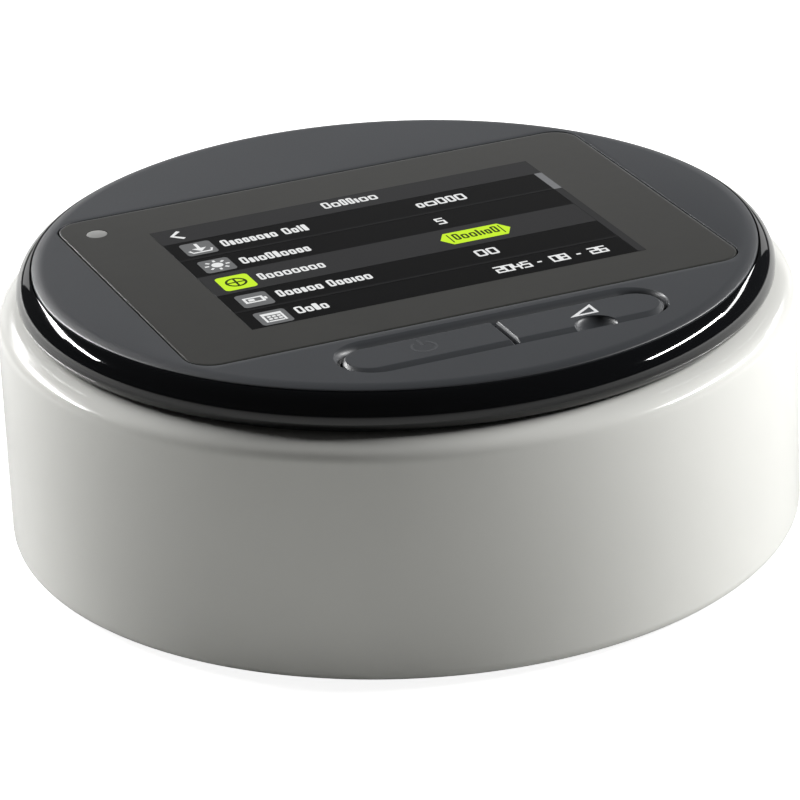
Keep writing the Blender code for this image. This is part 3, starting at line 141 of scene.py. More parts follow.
def skin(grid, wrap_rows=False, wrap_columns=True):
    """Four-sided faces between the neighbouring rows and columns of a grid of points."""
    rows, columns = grid.shape[:2]
    index = np.arange(rows * columns).reshape(rows, columns)
    if wrap_columns:
        index = np.column_stack([index, index[:, :1]])
    if wrap_rows:
        index = np.vstack([index, index[:1]])
    faces = np.stack([index[:-1, :-1], index[1:, :-1], index[1:, 1:], index[:-1, 1:]], -1)
    return grid.reshape(-1, 3), faces.reshape(-1, 4).tolist()


def turned(profile, sides=SIDES, closed=False):
    """A profile of (r, z) points turned about the axis: (r cos u, r sin u, z)."""
    u = np.linspace(0, 2 * np.pi, sides, endpoint=False)
    r, z = np.array(profile, float).T[:, :, None]
    return skin(np.stack([r * np.cos(u), r * np.sin(u), z + 0 * u], -1), wrap_rows=closed)


def at_height(outline, z):
    """An outline's points with their height added."""
    return np.column_stack([outline, np.full(len(outline), float(z))])


def lofted(rows, closed=False):
    """Outlines of equal point counts at their heights, joined row by row."""
    return skin(np.stack([at_height(outline, z) for outline, z in rows]), wrap_rows=closed)


def flat(outlines, z):
    """The flat area inside the first outline and outside the others, split into triangles."""
    loops = [[Vector(p) for p in at_height(outline, z)] for outline in outlines]
    points = np.concatenate([at_height(outline, z) for outline in outlines])
    return points, [list(face) for face in tessellate_polygon(loops)]


def slab(outlines, low, high):
    """The flat area of the outlines, given walls and a bottom."""
    walls = [lofted([(outline, high), (outline, low)]) for outline in outlines]
    return [flat(outlines, high), flat(outlines, low), *walls]


def moved(surfaces, matrix):
    """The surfaces' points carried by a 4 by 4 matrix, in millimetres."""
    m = np.array(matrix)
    return [(points @ m[:3, :3].T + m[:3, 3], faces) for points, faces in surfaces]


def facing(angle, z):
    """The place of something made along +Z, with its length turned to point out of the drum."""
    return Matrix.Translation((0, 0, z)) @ Matrix.Rotation(math.radians(angle), 4, "Z") @ Matrix.Rotation(
        math.radians(90), 4, "Y"
    )


def piece(name, surfaces, material, body="housing", stands_for=(), angle=SHARP_ANGLE):
    """One finished object: its surfaces welded, turned outwards, shaded smooth and set on its body."""
    points, faces, start = [], [], 0
    for part_points, part_faces in surfaces:
        points.append(part_points)
        faces += [[i + start for i in face] for face in part_faces]
        start += len(part_points)
    mesh = bpy.data.meshes.new(name)
    mesh.from_pydata(np.concatenate(points) * MM + (0, AXIS_Y, 0), [], faces)
    form = bmesh.new()
    form.from_mesh(mesh)
    bmesh.ops.remove_doubles(form, verts=form.verts, dist=WELD)
    bmesh.ops.recalc_face_normals(form, faces=form.faces)
    form.to_mesh(mesh)
    form.free()
    soften(mesh, angle)
    mesh.materials.append(material)
    made = bpy.data.objects.new(name, mesh)
    bpy.context.scene.collection.objects.link(made)
    if body:
        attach(made, body)
        if stands_for:
            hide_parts(*stands_for)
    return made


def soften(mesh, angle=SHARP_ANGLE):
    """Smooth shading, with the edges that are sharper than an angle kept."""
    mesh.polygons.foreach_set("use_smooth", np.ones(len(mesh.polygons), bool))
    mesh.set_sharp_from_angle(angle=math.radians(angle))
    mesh.update()


def carve(target, *tools):
    """Cuts closed forms out of a piece for good."""
    cutters = [
        piece(f"{target.name}_tool_{index}", tool, target.data.materials[0], None)
        for index, tool in enumerate(tools)
    ]
    for cutter in cutters:
        step = target.modifiers.new("cut", "BOOLEAN")
        step.operation = "DIFFERENCE"
        step.solver = "EXACT"
        step.object = cutter
    graph = bpy.context.evaluated_depsgraph_get()
    carved = bpy.data.meshes.new_from_object(target.evaluated_get(graph))
    target.modifiers.clear()
    target.data = carved
    while len(carved.materials) > 1:
        carved.materials.pop()
    soften(carved)
    for cutter in cutters:
        bpy.data.objects.remove(cutter)


# Finishes


def add_node(tree, kind, inputs=None, **settings):
    """Adds a node. An input's value is a constant, or (node, output) for a link."""
    made = tree.nodes.new(kind)
    for key, value in settings.items():
        setattr(made, key, value)
    for key, value in (inputs or {}).items():
        if isinstance(value, tuple) and isinstance(value[0], bpy.types.Node):
            tree.links.new(value[0].outputs[value[1]], made.inputs[key])
        else:
            made.inputs[key].default_value = value
    return made


def blank(name):
    """A new material with only its output node."""
    made = bpy.data.materials.new(name)
    made.use_nodes = True
    tree = made.node_tree
    tree.nodes.clear()
    return made, tree, add_node(tree, "ShaderNodeOutputMaterial")


def finish(name, colour, roughness, grain, depth, vary=0.04, **sockets):
    """A moulded or machined surface: its colour drifts a little, and a fine grain roughens it.

    grain is the texture's size and depth its height, both in millimetres.
    """
    made, tree, output = blank(name)
    place = add_node(tree, "ShaderNodeTexCoord")
    drift = add_node(
        tree, "ShaderNodeTexNoise", {"Vector": (place, "Object"), "Scale": 1 / (18 * MM), "Detail": 3.0}
    )
    tint = add_node(
        tree,
        "ShaderNodeMapRange",
        {
            "Value": (drift, "Fac"),
            "From Min": 0.3,
            "From Max": 0.7,
            "To Min": 1 - vary,
            "To Max": 1 + vary,
        },
    )
    base = add_node(
        tree,
        "ShaderNodeVectorMath",
        {0: linear(colour) if isinstance(colour, str) else tuple(colour), "Scale": (tint, "Result")},
        operation="SCALE",
    )
    fine = add_node(
        tree, "ShaderNodeTexNoise", {"Vector": (place, "Object"), "Scale": 1 / (grain * MM), "Detail": 2.0}
    )
    rough = add_node(
        tree,
        "ShaderNodeMapRange",
        {"Value": (fine, "Fac"), "To Min": roughness * 0.88, "To Max": roughness * 1.12},
    )
    bump = add_node(
        tree, "ShaderNodeBump", {"Height": (fine, "Fac"), "Distance": depth * MM, "Strength": 1.0}
    )
    shader = add_node(
        tree,
        "ShaderNodeBsdfPrincipled",
        {"Base Color": (base, "Vector"), "Roughness": (rough, "Result"), "Normal": (bump, "Normal"), **sockets},
    )
    tree.links.new(shader.outputs["BSDF"], output.inputs["Surface"])
    return made


def lit(name, colour, glow):
    """A patch of the lit screen, under the same gloss as the window."""
    made, tree, output = blank(name)
    place = add_node(tree, "ShaderNodeTexCoord")
    # The panel's rows of pixels, drawn at 0.15 mm, show as a faint drift in brightness.
    rows = add_node(
        tree, "ShaderNodeTexNoise", {"Vector": (place, "Object"), "Scale": 1 / (0.15 * MM), "Detail": 0.0}
    )
    level = add_node(
        tree, "ShaderNodeMapRange", {"Value": (rows, "Fac"), "To Min": glow * 0.94, "To Max": glow * 1.06}
    )
    shader = add_node(
        tree,
        "ShaderNodeBsdfPrincipled",
        {
            "Base Color": (0.0, 0.0, 0.0, 1.0),
            "Roughness": 0.3,
            "Specular IOR Level": 0.08,
            "Emission Color": (*linear(colour), 1.0),
            "Emission Strength": (level, "Result"),
        },
    )
    tree.links.new(shader.outputs["BSDF"], output.inputs["Surface"])
    return made


def make_finishes(colours):
    """Every finish of the machine, by the record's slot or the piece that has it."""
    return {
        # Injection-moulded ABS from a polished tool: near white, a soft gloss, a faint orange peel.
        "white_plastic": finish(
            "white_abs", colours.shell, 0.16, 1.2, 0.004, 0.01, IOR=1.5, **{"Sheen Weight": 0.25}
        ),
        # Polycarbonate from a mirror-polished tool: black that shows the lamps as sharp streaks.
        "gloss_black": finish("black_polycarbonate", colours.rim, 0.045, 2.5, 0.001, 0.02, IOR=1.58),
        # ABS from a spark-eroded tool: a fine even grain of 0.25 mm that spreads the light.
        "satin_grey": finish("satin_abs", colours.face, 0.42, 0.25, 0.006, 0.03, IOR=1.5),
        # Smoked acrylic: dark, slightly warm and smooth.
        "lens_dark": finish("smoked_acrylic", colours.lens, 0.30, 3.0, 0.002, 0.02, IOR=1.49),
        # Acrylic with a fine frost: pale grey, with no clear view of what lies under it.
        "smoked_window": finish("frosted_acrylic", "#8C8C8A", 0.45, 0.3, 0.004, 0.02),
        # Pressed steel with a black coat: dark, with a dull metal shine.
        "display_metal": finish("black_coated_steel", "#2E2E30", 0.4, 0.4, 0.004, 0.05, Metallic=0.6),
        # ABS from a blasted tool: black and matt.
        "black_plastic": finish("matt_black_abs", "#202022", 0.55, 0.3, 0.01, 0.05),
        # Moulded nylon with glass fibres: dark grey, with fibres that dull its surface.
        "dark_plastic": finish("glass_filled_nylon", "#3A3B3D", 0.5, 0.35, 0.012, 0.06),
        # Compression-moulded rubber: nearly black, with no shine.
        "rubber": finish("moulded_rubber", "#262626", 0.8, 0.4, 0.02, 0.08),
        # Moulded silicone: milky and softly matt.
        "silicone": finish("milky_silicone", "#B9B9B6", 0.55, 0.8, 0.01, 0.04),
        # Wool of pressed fibres: white and dull. The fibres are drawn at 0.5 mm so that they show.
        "foam": finish("filter_wool", "#E2E2DE", 0.95, 0.5, 0.2, 0.12),
        # Zinc-plated steel: a bright, even grey.
        "steel": finish("zinc_plated_steel", "#C2C3C6", 0.3, 0.5, 0.004, 0.06, Metallic=1.0),
        # Enamelled copper wire, wound in layers: red-brown, with ripples of the wire's 0.5 mm.
        "copper": finish("enamelled_copper", "#B4683A", 0.35, 0.5, 0.05, 0.15, Metallic=1.0),
        # Plated sheet metal: bright and slightly warm.
        "nickel": finish("nickel_plate", "#CFCBC2", 0.25, 0.5, 0.004, 0.05, Metallic=1.0),
        # Glass epoxy with a green solder mask: satin, with a drift in colour from the tracks below.
        "board": finish("solder_mask", "#1F5A38", 0.4, 0.6, 0.01, 0.12),
        # Epoxy moulded round a chip: black and matt.
        "chip": finish("moulded_epoxy", "#1C1C1D", 0.55, 0.3, 0.01, 0.06),
        # Printed ink: flat and even.
        "icon_white": finish("white_ink", "#D6D7D8", 0.5, 0.3, 0.002, 0.03),
        # A sign etched in the button's tool: a little lighter and duller than the ABS round it.
        "icon_dark": finish("engraved_abs", "#3B3D40", 0.6, 0.3, 0.004, 0.03),
        # Liquid crystal display lit from behind: even colours that glow and hardly mirror the room.
        "screen_black": lit("screen_black", "#050506", 1.0),
        "screen_grey": lit("screen_grey", "#303031", 1.0),
        "screen_line": lit("screen_line", "#1C1C1D", 1.0),
        "screen_thumb": lit("screen_thumb", "#77787A", 1.0),
        "screen_tile": lit("screen_tile", "#6C6D6E", 1.0),
        "screen_white": lit("screen_white", "#E9EAEA", 1.0),
        "screen_lime": lit("screen_lime", "#C8F02D", 1.0),
        "screen_ink": lit("screen_ink", "#2E3A0C", 1.0),
    }


FINISHES = {}


def material(slot):
    """The finish of a slot. All of them are made when the first one is asked for."""
    if not FINISHES:
        FINISHES.update(make_finishes(bpy.context.scene.machine_colours))
    return FINISHES[slot]


# Settings that a user would change


def length(name, text, value):
    """A size that a user would change, given in millimetres and kept in metres."""
    return bpy.props.FloatProperty(
        name=name, description=text, default=value * MM, min=0, precision=5, unit="LENGTH"
    )


def mm(value):
    """A kept size in millimetres again."""
    return round(value / MM, 4)


def colour(name, text, code):
    """A colour that a user would change, given as sRGB hex."""
    return bpy.props.FloatVectorProperty(
        name=name, description=text, default=linear(code), size=3, min=0, max=1, subtype="COLOR"
    )


class MachineSizes(bpy.types.PropertyGroup):
    """Sizes of the visible pieces"""

    rim_round: length("Rim rounding", "Width of the rounding at the lid's edge", 5.3)
    rim_drop: length("Rim drop", "Height of the rounding at the lid's edge", 4.8)
    facet: length("Button facet", "Width of the slope at the buttons' front", 1.4)
    lens_corner: length("Window corner", "Corner radius of the display window", 5.0)


class MachineColours(bpy.types.PropertyGroup):
    """Colours of the main finishes"""

    shell: colour("Shell", "White of the drum", "#E9E9E4")
    rim: colour("Rim", "Gloss black of the lid's rim", "#0C0D0F")
    face: colour("Face", "Satin grey of the lid's face and the buttons", "#37393C")
    lens: colour("Window", "Smoked grey of the display window", "#363634")


class MachineOperator:
    """What the operators share"""

    bl_options = {"REGISTER", "UNDO"}


class MACHINE_OT_shell(MachineOperator, bpy.types.Operator):
    """Makes the white drum with its shoulder, and cuts the openings in its back and side"""

    bl_idname = "machine.shell"
    bl_label = "Drum"

    def execute(self, context):
        shoulder = bezier((64.3, 44.1), (67.4, 44.1), (70.7, 43.9), (70.78, 41.0), 14)
        foot = arc((68.8, 3.4), (2.2, 2.2), 0, -90, 8)
        profile = [(57.5, 44.1), (62.0, 44.1), *shoulder, *foot, (68.65, 1.2), (68.65, 39.8)]
        profile += [(66.4, 41.9), (57.5, 41.9)]
        shell = piece(
            "drum_shell",
            [turned(profile, closed=True)],
            material("white_plastic"),
            "housing",
            ["body_shell"],
        )
        port = moved([drill(15.0)], along_rear(OUTLET_Z))
        jack = moved([drill(5.9)], facing(JACK_ANGLE, JACK_Z))
        window = slab([box_outline(-10.8, 10.8, -18.8, 18.8, 1.2)], CUT_FROM, CUT_TO)
        window = moved(window, facing(FILTER_ANGLE, OUTLET_Z))
        low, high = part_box("memory_card")
        middle = (low.z + high.z) / 2 / MM
        card = slab([box_outline(-1.65, 1.65, -12.6, 12.6, 0.5)], CUT_FROM, CUT_TO)
        card = moved(card, facing(0, middle))
        carve(shell, port, window, jack, card)
        return {"FINISHED"}


def drill(radius):
    """A round tool through the drum's wall: a rectangle of (r, z) points turned about its axis."""
    return turned([(0, CUT_TO), (radius, CUT_TO), (radius, CUT_FROM), (0, CUT_FROM)], FINE_SIDES)


def along_rear(z):
    """The place of something made along +Z, with its length turned to point to the rear."""
    return Matrix.Translation((0, 0, z)) @ Matrix.Rotation(math.radians(-90), 4, "X")


# Left, right, front and rear of the button recess: its wall, and the upper edge of its roll.
RECESS = (-29.1, 30.1, -51.75, -40.65)
RECESS_RIM = (-29.7, 30.7, -52.4, -38.35)
BUTTON_TOP = TOP - 0.08
SIGN_DEPTH, SIGN_HEIGHT = 0.2, 0.015


def recess(share=0.0, steps=24):
    """The button recess's outline. Share 0 is its wall and share 1 its upper edge."""
    x0, x1, y0, y1 = (a + (b - a) * share for a, b in zip(RECESS, RECESS_RIM))
    return box_outline(x0, x1, y0, y1, (y1 - y0) / 2 - 0.001, steps)


def window_outline(sizes, grow=0.0):
    """The display window's outline, grown all round."""
    return box_outline(
        -51.1 - grow, 51.1 + grow, -36.1 - grow, 37.3 + grow, mm(sizes.lens_corner) + grow, 12
    )


def rim_height(sizes, radius):
    """Height on the rim's rounding: an ellipse from the flat top to the widest place."""
    share = (radius - (RIM_RADIUS - mm(sizes.rim_round))) / mm(sizes.rim_round)
    return TOP - mm(sizes.rim_drop) * (1 - math.sqrt(1 - share * share))


class MACHINE_OT_lid(MachineOperator, bpy.types.Operator):
    """Makes the gloss black rim and the deck under the face"""

    bl_idname = "machine.lid"
    bl_label = "Lid housing"

    def execute(self, context):
        sizes = context.scene.machine_sizes
        centre = (RIM_RADIUS - mm(sizes.rim_round), TOP - mm(sizes.rim_drop))
        edge = LID_SEAT
        start = math.degrees(math.acos((edge - centre[0]) / mm(sizes.rim_round)))
        deck = FACE_BOTTOM - 0.3
        lip = rim_height(sizes, edge)
        radii = (mm(sizes.rim_round), mm(sizes.rim_drop))
        profile = [(edge - 1.0, deck), (edge, deck), (edge, lip - 0.12), (edge + 0.03, lip - 0.03)]
        profile += [*arc(centre, radii, start - 1.5, 0, 24)]
        profile += [*arc((LID_SEAT, 47.0), (2.7, 2.6), -6, -90, 14)]
        profile += [(LID_WALL, 44.4), (LID_WALL, deck - 2)]
        panel = box_outline(-42.8, 42.8, -27.5, 28.7, 0.8, 3)
        holes = [panel, recess()]
        parts = [
            turned(profile),
            flat([circle(edge - 1.0, sides=SIDES), *holes], deck),
            flat([circle(LID_WALL, sides=SIDES), *holes], deck - 2),
            *[lofted([(hole, deck), (hole, deck - 2)]) for hole in holes],
        ]
        piece("lid_rim", parts, material("gloss_black"), "housing", ["top_cover"])
        return {"FINISHED"}


class MACHINE_OT_face(MachineOperator, bpy.types.Operator):
    """Makes the satin face with its rolled button recess, the display window and the light sensor"""

    bl_idname = "machine.face"
    bl_label = "Face"

    def execute(self, context):
        sizes = context.scene.machine_sizes
        centre = (RIM_RADIUS - mm(sizes.rim_round), TOP - mm(sizes.rim_drop))
        end = math.degrees(math.acos((63.9 - centre[0]) / mm(sizes.rim_round)))
        radii = (mm(sizes.rim_round), mm(sizes.rim_drop))
        low = FACE_BOTTOM
        side = arc(centre, radii, 90, end, 12).tolist()
        side += [(64.0, side[-1][1] - 0.12), (64.0, low)]
        opening = [(0.38, TOP), (0.34, TOP - 0.01), (0.31, TOP - 0.05), (0.3, TOP - 0.12), (0.3, low)]
        opening = [(window_outline(sizes, grow), z) for grow, z in opening]
        # The roll sinks by 1.5 (1 - cos t) while its outline shrinks with sin t.
        roll = [(recess(1.12), TOP), (recess(1.0), TOP), (recess(0.93), TOP - 0.06)]
        t = np.radians(np.linspace(24, 74, 9))
        roll += [(recess(1 - s), TOP - d) for s, d in zip(np.sin(t) * 0.96 - 0.22, 1.5 * (1 - np.cos(t)))]
        roll += [(recess(), TOP - 1.35), (recess(), low)]
        outer = circle(centre[0], sides=SIDES)
        rim = circle(64.0, sides=SIDES)
        parts = [
            turned(side),
            lofted(opening),
            lofted(roll),
            flat([outer, opening[0][0], roll[0][0]], TOP),
            flat([rim, opening[-1][0], roll[-1][0]], low),
        ]
        piece("satin_face", parts, material("satin_grey"), "housing", ["face_plate"])

        rows = [(-0.5, TOP), (-0.2, TOP), (-0.06, TOP - 0.06), (0.0, TOP - 0.2), (0.0, low)]
        rows = [(window_outline(sizes, grow), z) for grow, z in rows]
        sensor = (-45.0, 30.0)
        hole = circle(1.95, sensor, 48)
        parts = [
            lofted(rows),
            flat([rows[0][0], hole], TOP),
            flat([rows[-1][0], hole], low),
            lofted([(hole, TOP), (hole, low)]),
        ]
        piece("display_window", parts, material("lens_dark"), "housing", ["display_lens"])
        spot = [(0, TOP), (1.7, TOP), (1.86, TOP - 0.05), (1.9, TOP - 0.15), (1.9, low), (0, low)]
        spot = moved([turned(spot, 48)], Matrix.Translation((*sensor, 0)))
        piece("light_window", spot, material("smoked_window"), "housing", ["light_sensor"])
        return {"FINISHED"}


SCREEN = (-36.7, 37.2, -25.0, 25.3)
ROW_EDGES = (18.4, 9.95, 1.25, -8.3, -16.75, -25.0)
BAR_LEFT = 35.7


def rectangle(x0, x1, y0, y1):
    """A plain rectangle's outline."""
    return np.array([(x0, y0), (x1, y0), (x1, y1), (x0, y1)], float)


def word(x, y, widths, span, tall=(), height=2.1, weight=0.4, gap=0.3):
    """A row of blank rings and bars in place of a word's letters. Those named in tall stand higher, a
    negative width is a space, and the widths are stretched so that the row is span long."""
    share = (span - gap * (len(widths) - 1)) / sum(map(abs, widths))
    areas = []
    for index, width in enumerate(widths):
        wide = abs(width) * share
        if width > 0:
            top = y + height * (1.38 if index in tall else 1.0)
            area = [box_outline(x, x + wide, y, top, min(wide * 0.3, 0.4), 3)]
            if wide > 2 * weight + 0.2:
                area.append(box_outline(x + weight, x + wide - weight, y + weight, top - weight, 0.12, 3))
            areas.append(area)
        x += wide + gap
    return areas


DIGIT_STROKES = {
    "0": [[(0, 0), (0, 2), (1, 2), (1, 0), (0, 0)]],
    "1": [[(0.2, 1.6), (0.6, 2), (0.6, 0)]],
    "2": [[(0, 2), (1, 2), (1, 1), (0, 1), (0, 0), (1, 0)]],
    "4": [[(0, 2), (0, 0.9), (1, 0.9)], [(0.8, 1.6), (0.8, 0)]],
    "5": [[(1, 2), (0, 2), (0, 1.1), (1, 1.1), (1, 0), (0, 0)]],
    "6": [[(1, 2), (0, 2), (0, 0), (1, 0), (1, 1), (0, 1)]],
    "8": [[(0, 0), (0, 2), (1, 2), (1, 0), (0, 0)], [(0, 1), (1, 1)]],
}


def digits(text, x, y, size=1.25, width=0.36):
    """Plain numbers, each drawn as straight strokes on a grid of one by two."""
    areas = []
    for sign in text:
        for line in DIGIT_STROKES[sign]:
            points = np.array(line, float) * size + (x, y)
            for a, b in zip(points[:-1], points[1:]):
                along = (b - a) / np.linalg.norm(b - a) * width / 2
                areas.append([stroke([a - along, b + along], width)])
        x += size + 0.43
    return areas


def ring_outline(radius, width, centre, start=0, end=360, steps=36):
    """A ring or a part of one, as a closed outline."""
    if end - start < 360:
        return [stroke(arc(centre, (radius, radius), start, end, steps), width)]
    points = arc(centre, (radius, radius), 0, 359.9, steps)
    return [stroke(points, width)]


def pictograms():
    """Signs in the menu's grey icons: an arrow into a tray, a sun, a battery, a calendar. The ball with lines
    is drawn with the screen's ink.
    """
    x = -31.4
    signs = []
    y = 14.3
    signs.append(stroke([(x, y + 2.2), (x, y - 0.4)], 0.6))
    signs.append(np.array([(x, y - 1.5), (x + 1.3, y), (x - 1.3, y)]))
    signs += [stroke([(x - 2.1, y - 0.8), (x - 1.7, y - 1.9), (x + 1.7, y - 1.9), (x + 2.1, y - 0.8)], 0.45)]
    y = 5.2
    signs.append(circle(1.05, (x, y), 24))
    for angle in range(0, 360, 45):
        way = np.array([math.cos(math.radians(angle)), math.sin(math.radians(angle))])
        signs.append(stroke([way * 1.55 + (x, y), way * 2.3 + (x, y)], 0.45))
    y = -12.85
    signs += [rectangle(x - 2.0, x - 1.55, y - 1.1, y + 1.1), rectangle(x - 2.0, x + 1.6, y + 0.75, y + 1.2)]
    signs += [rectangle(x - 2.0, x + 1.6, y - 1.2, y - 0.75), rectangle(x + 1.2, x + 1.65, y - 1.1, y + 1.1)]
    signs += [rectangle(x + 1.75, x + 2.2, y - 0.5, y + 0.5), rectangle(x - 1.2, x - 0.1, y - 0.45, y + 0.45)]
    y = -21.6
    signs += [rectangle(x - 1.9, x + 1.9, y + 1.0, y + 1.9), rectangle(x - 1.9, x - 1.5, y - 1.9, y + 0.9)]
    signs += [rectangle(x + 1.5, x + 1.9, y - 1.9, y + 0.9), rectangle(x - 1.4, x + 1.4, y - 1.9, y - 1.5)]
    for dx in (-1.1, -0.2, 0.7):
        signs += [rectangle(x + dx, x + dx + 0.65, y + dy, y + dy + 0.6) for dy in (-1.0, 0.0)]
    return signs


class MACHINE_OT_screen(MachineOperator, bpy.types.Operator):
    """Makes the lit menu on the display: rows, icons, blank words and plain numbers"""

    bl_idname = "machine.screen"
    bl_label = "Screen"

    def execute(self, context):
        x0, x1, y0, y1 = SCREEN
        step = 0.02

        def layer(name, areas, level, slot):
            """One colour of the picture, a number of steps above the window."""
            surfaces = []
            for area in areas:
                outlines = area if isinstance(area, list) else [area]
                surfaces += slab(outlines, TOP - 0.3, TOP + level * step)
            piece(name, surfaces, material(slot), "housing", (), 60)

        layer("screen_ground", [rectangle(x0, x1, y0, y1)], 1, "screen_black")
        bars = [rectangle(x0, x1, ROW_EDGES[0], y1)]
        bars.append(rectangle(x0, BAR_LEFT - 0.1, ROW_EDGES[3], ROW_EDGES[2]))
        bars.append(rectangle(BAR_LEFT, x1, y0, ROW_EDGES[0] - 8.9))
        layer("screen_bars", bars, 2, "screen_grey")
        lines = [rectangle(x0, BAR_LEFT - 0.1, y - 0.35, y + 0.35) for y in (ROW_EDGES[1], ROW_EDGES[4])]
        layer("screen_lines", lines, 2, "screen_line")
        layer("screen_thumb", [rectangle(BAR_LEFT, x1, ROW_EDGES[0] - 8.8, ROW_EDGES[0])], 2, "screen_thumb")
        tiles = [box_outline(-34.3, -28.6, y - 2.95, y + 2.95, 0.7, 4) for y in (14.25, 5.15, -12.85, -21.6)]
        layer("screen_tiles", tiles, 3, "screen_tile")
        pill = [(8.9, -0.9), (19.4, -0.9), (20.9, -3.6), (19.4, -6.3), (8.9, -6.3), (7.4, -3.6)]
        lime = [box_outline(-34.4, -28.4, -7.1, -0.7, 0.8, 4), np.array(pill[::-1])]
        layer("screen_lime", lime, 3, "screen_lime")
        marks = [stroke([(-31.9, 23.7), (-33.7, 21.9), (-31.9, 20.1)], 0.7)]
        marks += word(-4.5, 21.0, [1.2, 1.3, 0.9, 0.9, 0.45, 1.3, 1.3], 10.5, (0, 2, 3))
        widths = [1.3, 0.8, 1.2, 1.1, 1.1, 1.3, 0.8, 1.2, -0.8, 1.4, 1.2, 0.45, 0.9]
        marks += word(-27.1, 12.9, widths, 16.3, (0, 9, 11, 12))
        marks += word(-27.1, 3.5, [1.3, 0.8, 0.45, 1.3, 1.2, 0.9, 1.3, 1.2, 1.1, 1.1], 12.9, (0, 4, 5))
        marks += word(-27.1, -5.0, [1.1, 1.2, 1.3, 1.3, 1.3, 1.2, 1.3, 1.2], 12.2, (0,))
        widths = [1.2, 1.3, 1.2, 0.8, 1.3, 1.2, -0.6, 1.3, 1.2, 1.2, 0.45, 1.3, 1.3]
        marks += word(-27.1, -13.8, widths, 17.4, (0, 7))
        marks += word(-27.1, -22.3, [1.4, 1.2, 0.9, 1.2], 5.8, (0, 2))
        marks += word(10.5, 13.0, [1.2, 1.9, 1.5, 1.3, 1.6], 9.6, (2, 3, 4))
        marks += digits("5", 10.6, 3.9)
        marks += word(10.3, -13.8, [1.8, 1.7], 4.1, (0, 1))
        for number, x in (("2045", 10.3), ("08", 20.9), ("26", 28.3)):
            marks += digits(number, x, -22.3)
        marks += [rectangle(x - 0.4, x + 0.4, -21.3, -20.9) for x in (18.5, 26.0)]
        layer("screen_marks", marks, 4, "screen_white")
        layer("screen_signs", pictograms(), 4, "screen_white")
        ball = ring_outline(1.75, 0.45, (-31.4, -3.9))
        ball += [stroke([(-31.4, -5.4), (-31.4, -2.4)], 0.4), stroke([(-32.9, -3.9), (-29.9, -3.9)], 0.4)]
        ball += word(10.0, -4.7, [1.2, 1.3, 1.3, 0.45, 0.45, 1.1, 1.2], 8.6, (0, 3, 6))
        ball += [rectangle(x - 0.12, x + 0.12, -5.5, -1.7) for x in (9.3, 19.2)]
        layer("screen_ink", ball, 4, "screen_ink")
        return {"FINISHED"}


def button_rows(side, sizes):
    """Outlines of a button from its flat top to its skirt. Its front slopes more than its other sides."""
    split = 0.5 + side * 0.45
    top = BUTTON_TOP

    def outline(inset, front):
        """The button's outline, drawn in at its sides and, by another amount, at its front."""
        end = (29.6 if side > 0 else -28.6) - side * inset
        inner = split + side * inset * 0.5
        y0, y1 = -51.25 + front, -41.15 - inset * 0.6
        round_end = (y1 - y0) / 2 - 0.001
        if side > 0:
            return box_outline(inner, end, y0, y1, (round_end, 0.25, 0.25, round_end), 16)
        return box_outline(end, inner, y0, y1, (0.25, round_end, round_end, 0.25), 16)

    facet = mm(sizes.facet)
    return [
        (outline(0.85, facet + 0.3), top),
        (outline(0.65, facet), top),
        (outline(0.58, facet * 0.93), top - 0.02),
        (outline(0.5, facet * 0.85), top - 0.06),
        (outline(0.12, facet * 0.12), top - 0.44),
        (outline(0.05, facet * 0.04), top - 0.50),
        (outline(0, 0), top - 0.62),
        (outline(0, 0), FACE_BOTTOM - 3),
    ]


class MACHINE_OT_buttons(MachineOperator, bpy.types.Operator):
    """Makes the two buttons, the finger scoop in the right one, and their signs"""

    bl_idname = "machine.buttons"
    bl_label = "Buttons"

    def execute(self, context):
        sizes = context.scene.machine_sizes
        made = {}
        for side, name in ((-1, "power"), (1, "ramp")):
            low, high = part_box(f"{name}_button")
            rows = button_rows(side, sizes)
            x0, x1 = low.x / MM, high.x / MM
            y0, y1 = (low.y - AXIS_Y) / MM, (high.y - AXIS_Y) / MM
            flange = slab([box_outline(x0, x1, y0, y1, 2.0, 6)], 46.7, 47.3)
            parts = [lofted(rows), flat([rows[0][0]], rows[0][1]), flat([rows[-1][0]], rows[-1][1])]
            stem = turned([(0, 46.9), (2.2, 46.9), (2.2, low.z / MM), (0, low.z / MM)], 48)
            parts += flange + moved([stem], Matrix.Translation(((x0 + x1) / 2, (y0 + y1) / 2, 0)))
            made[name] = piece(
                f"{name}_key", parts, material("satin_grey"), f"{name}_key", [f"{name}_button"]
            )
        # The finger scoop is a unit ball, (cos t, sin t) turned about its axis, stretched to size.
        t = np.linspace(90, -90, 25)
        ball = turned(np.column_stack([np.cos(np.radians(t)), np.sin(np.radians(t))]), 64)
        scale = Matrix.Translation((15.3, -51.3, TOP - 0.1)) @ Matrix.Diagonal((3.9, 4.4, 1.5, 1))
        carve(made["ramp"], moved([ball], scale))
        low, high = BUTTON_TOP - SIGN_DEPTH, BUTTON_TOP + SIGN_HEIGHT
        centre = (-14.0, -45.5)
        sign = ring_outline(2.1, 0.55, centre, 122, 418, 40)
        sign.append(stroke([(centre[0], centre[1] + 3.0), (centre[0], centre[1] + 0.4)], 0.55))
        parts = [surface for outline in sign for surface in slab([outline], low, high)]
        piece("power_sign", parts, material("icon_dark"), "power_key", (), 60)
        outer = np.array([(12.5, -46.25), (17.85, -46.25), (17.85, -42.4)])
        inner = np.array([(14.3, -45.7), (17.3, -45.7), (17.3, -43.5)])
        sign = slab([outer, inner], low, high)
        piece("ramp_sign", sign, material("icon_white"), "ramp_key", (), 60)
        return {"FINISHED"}


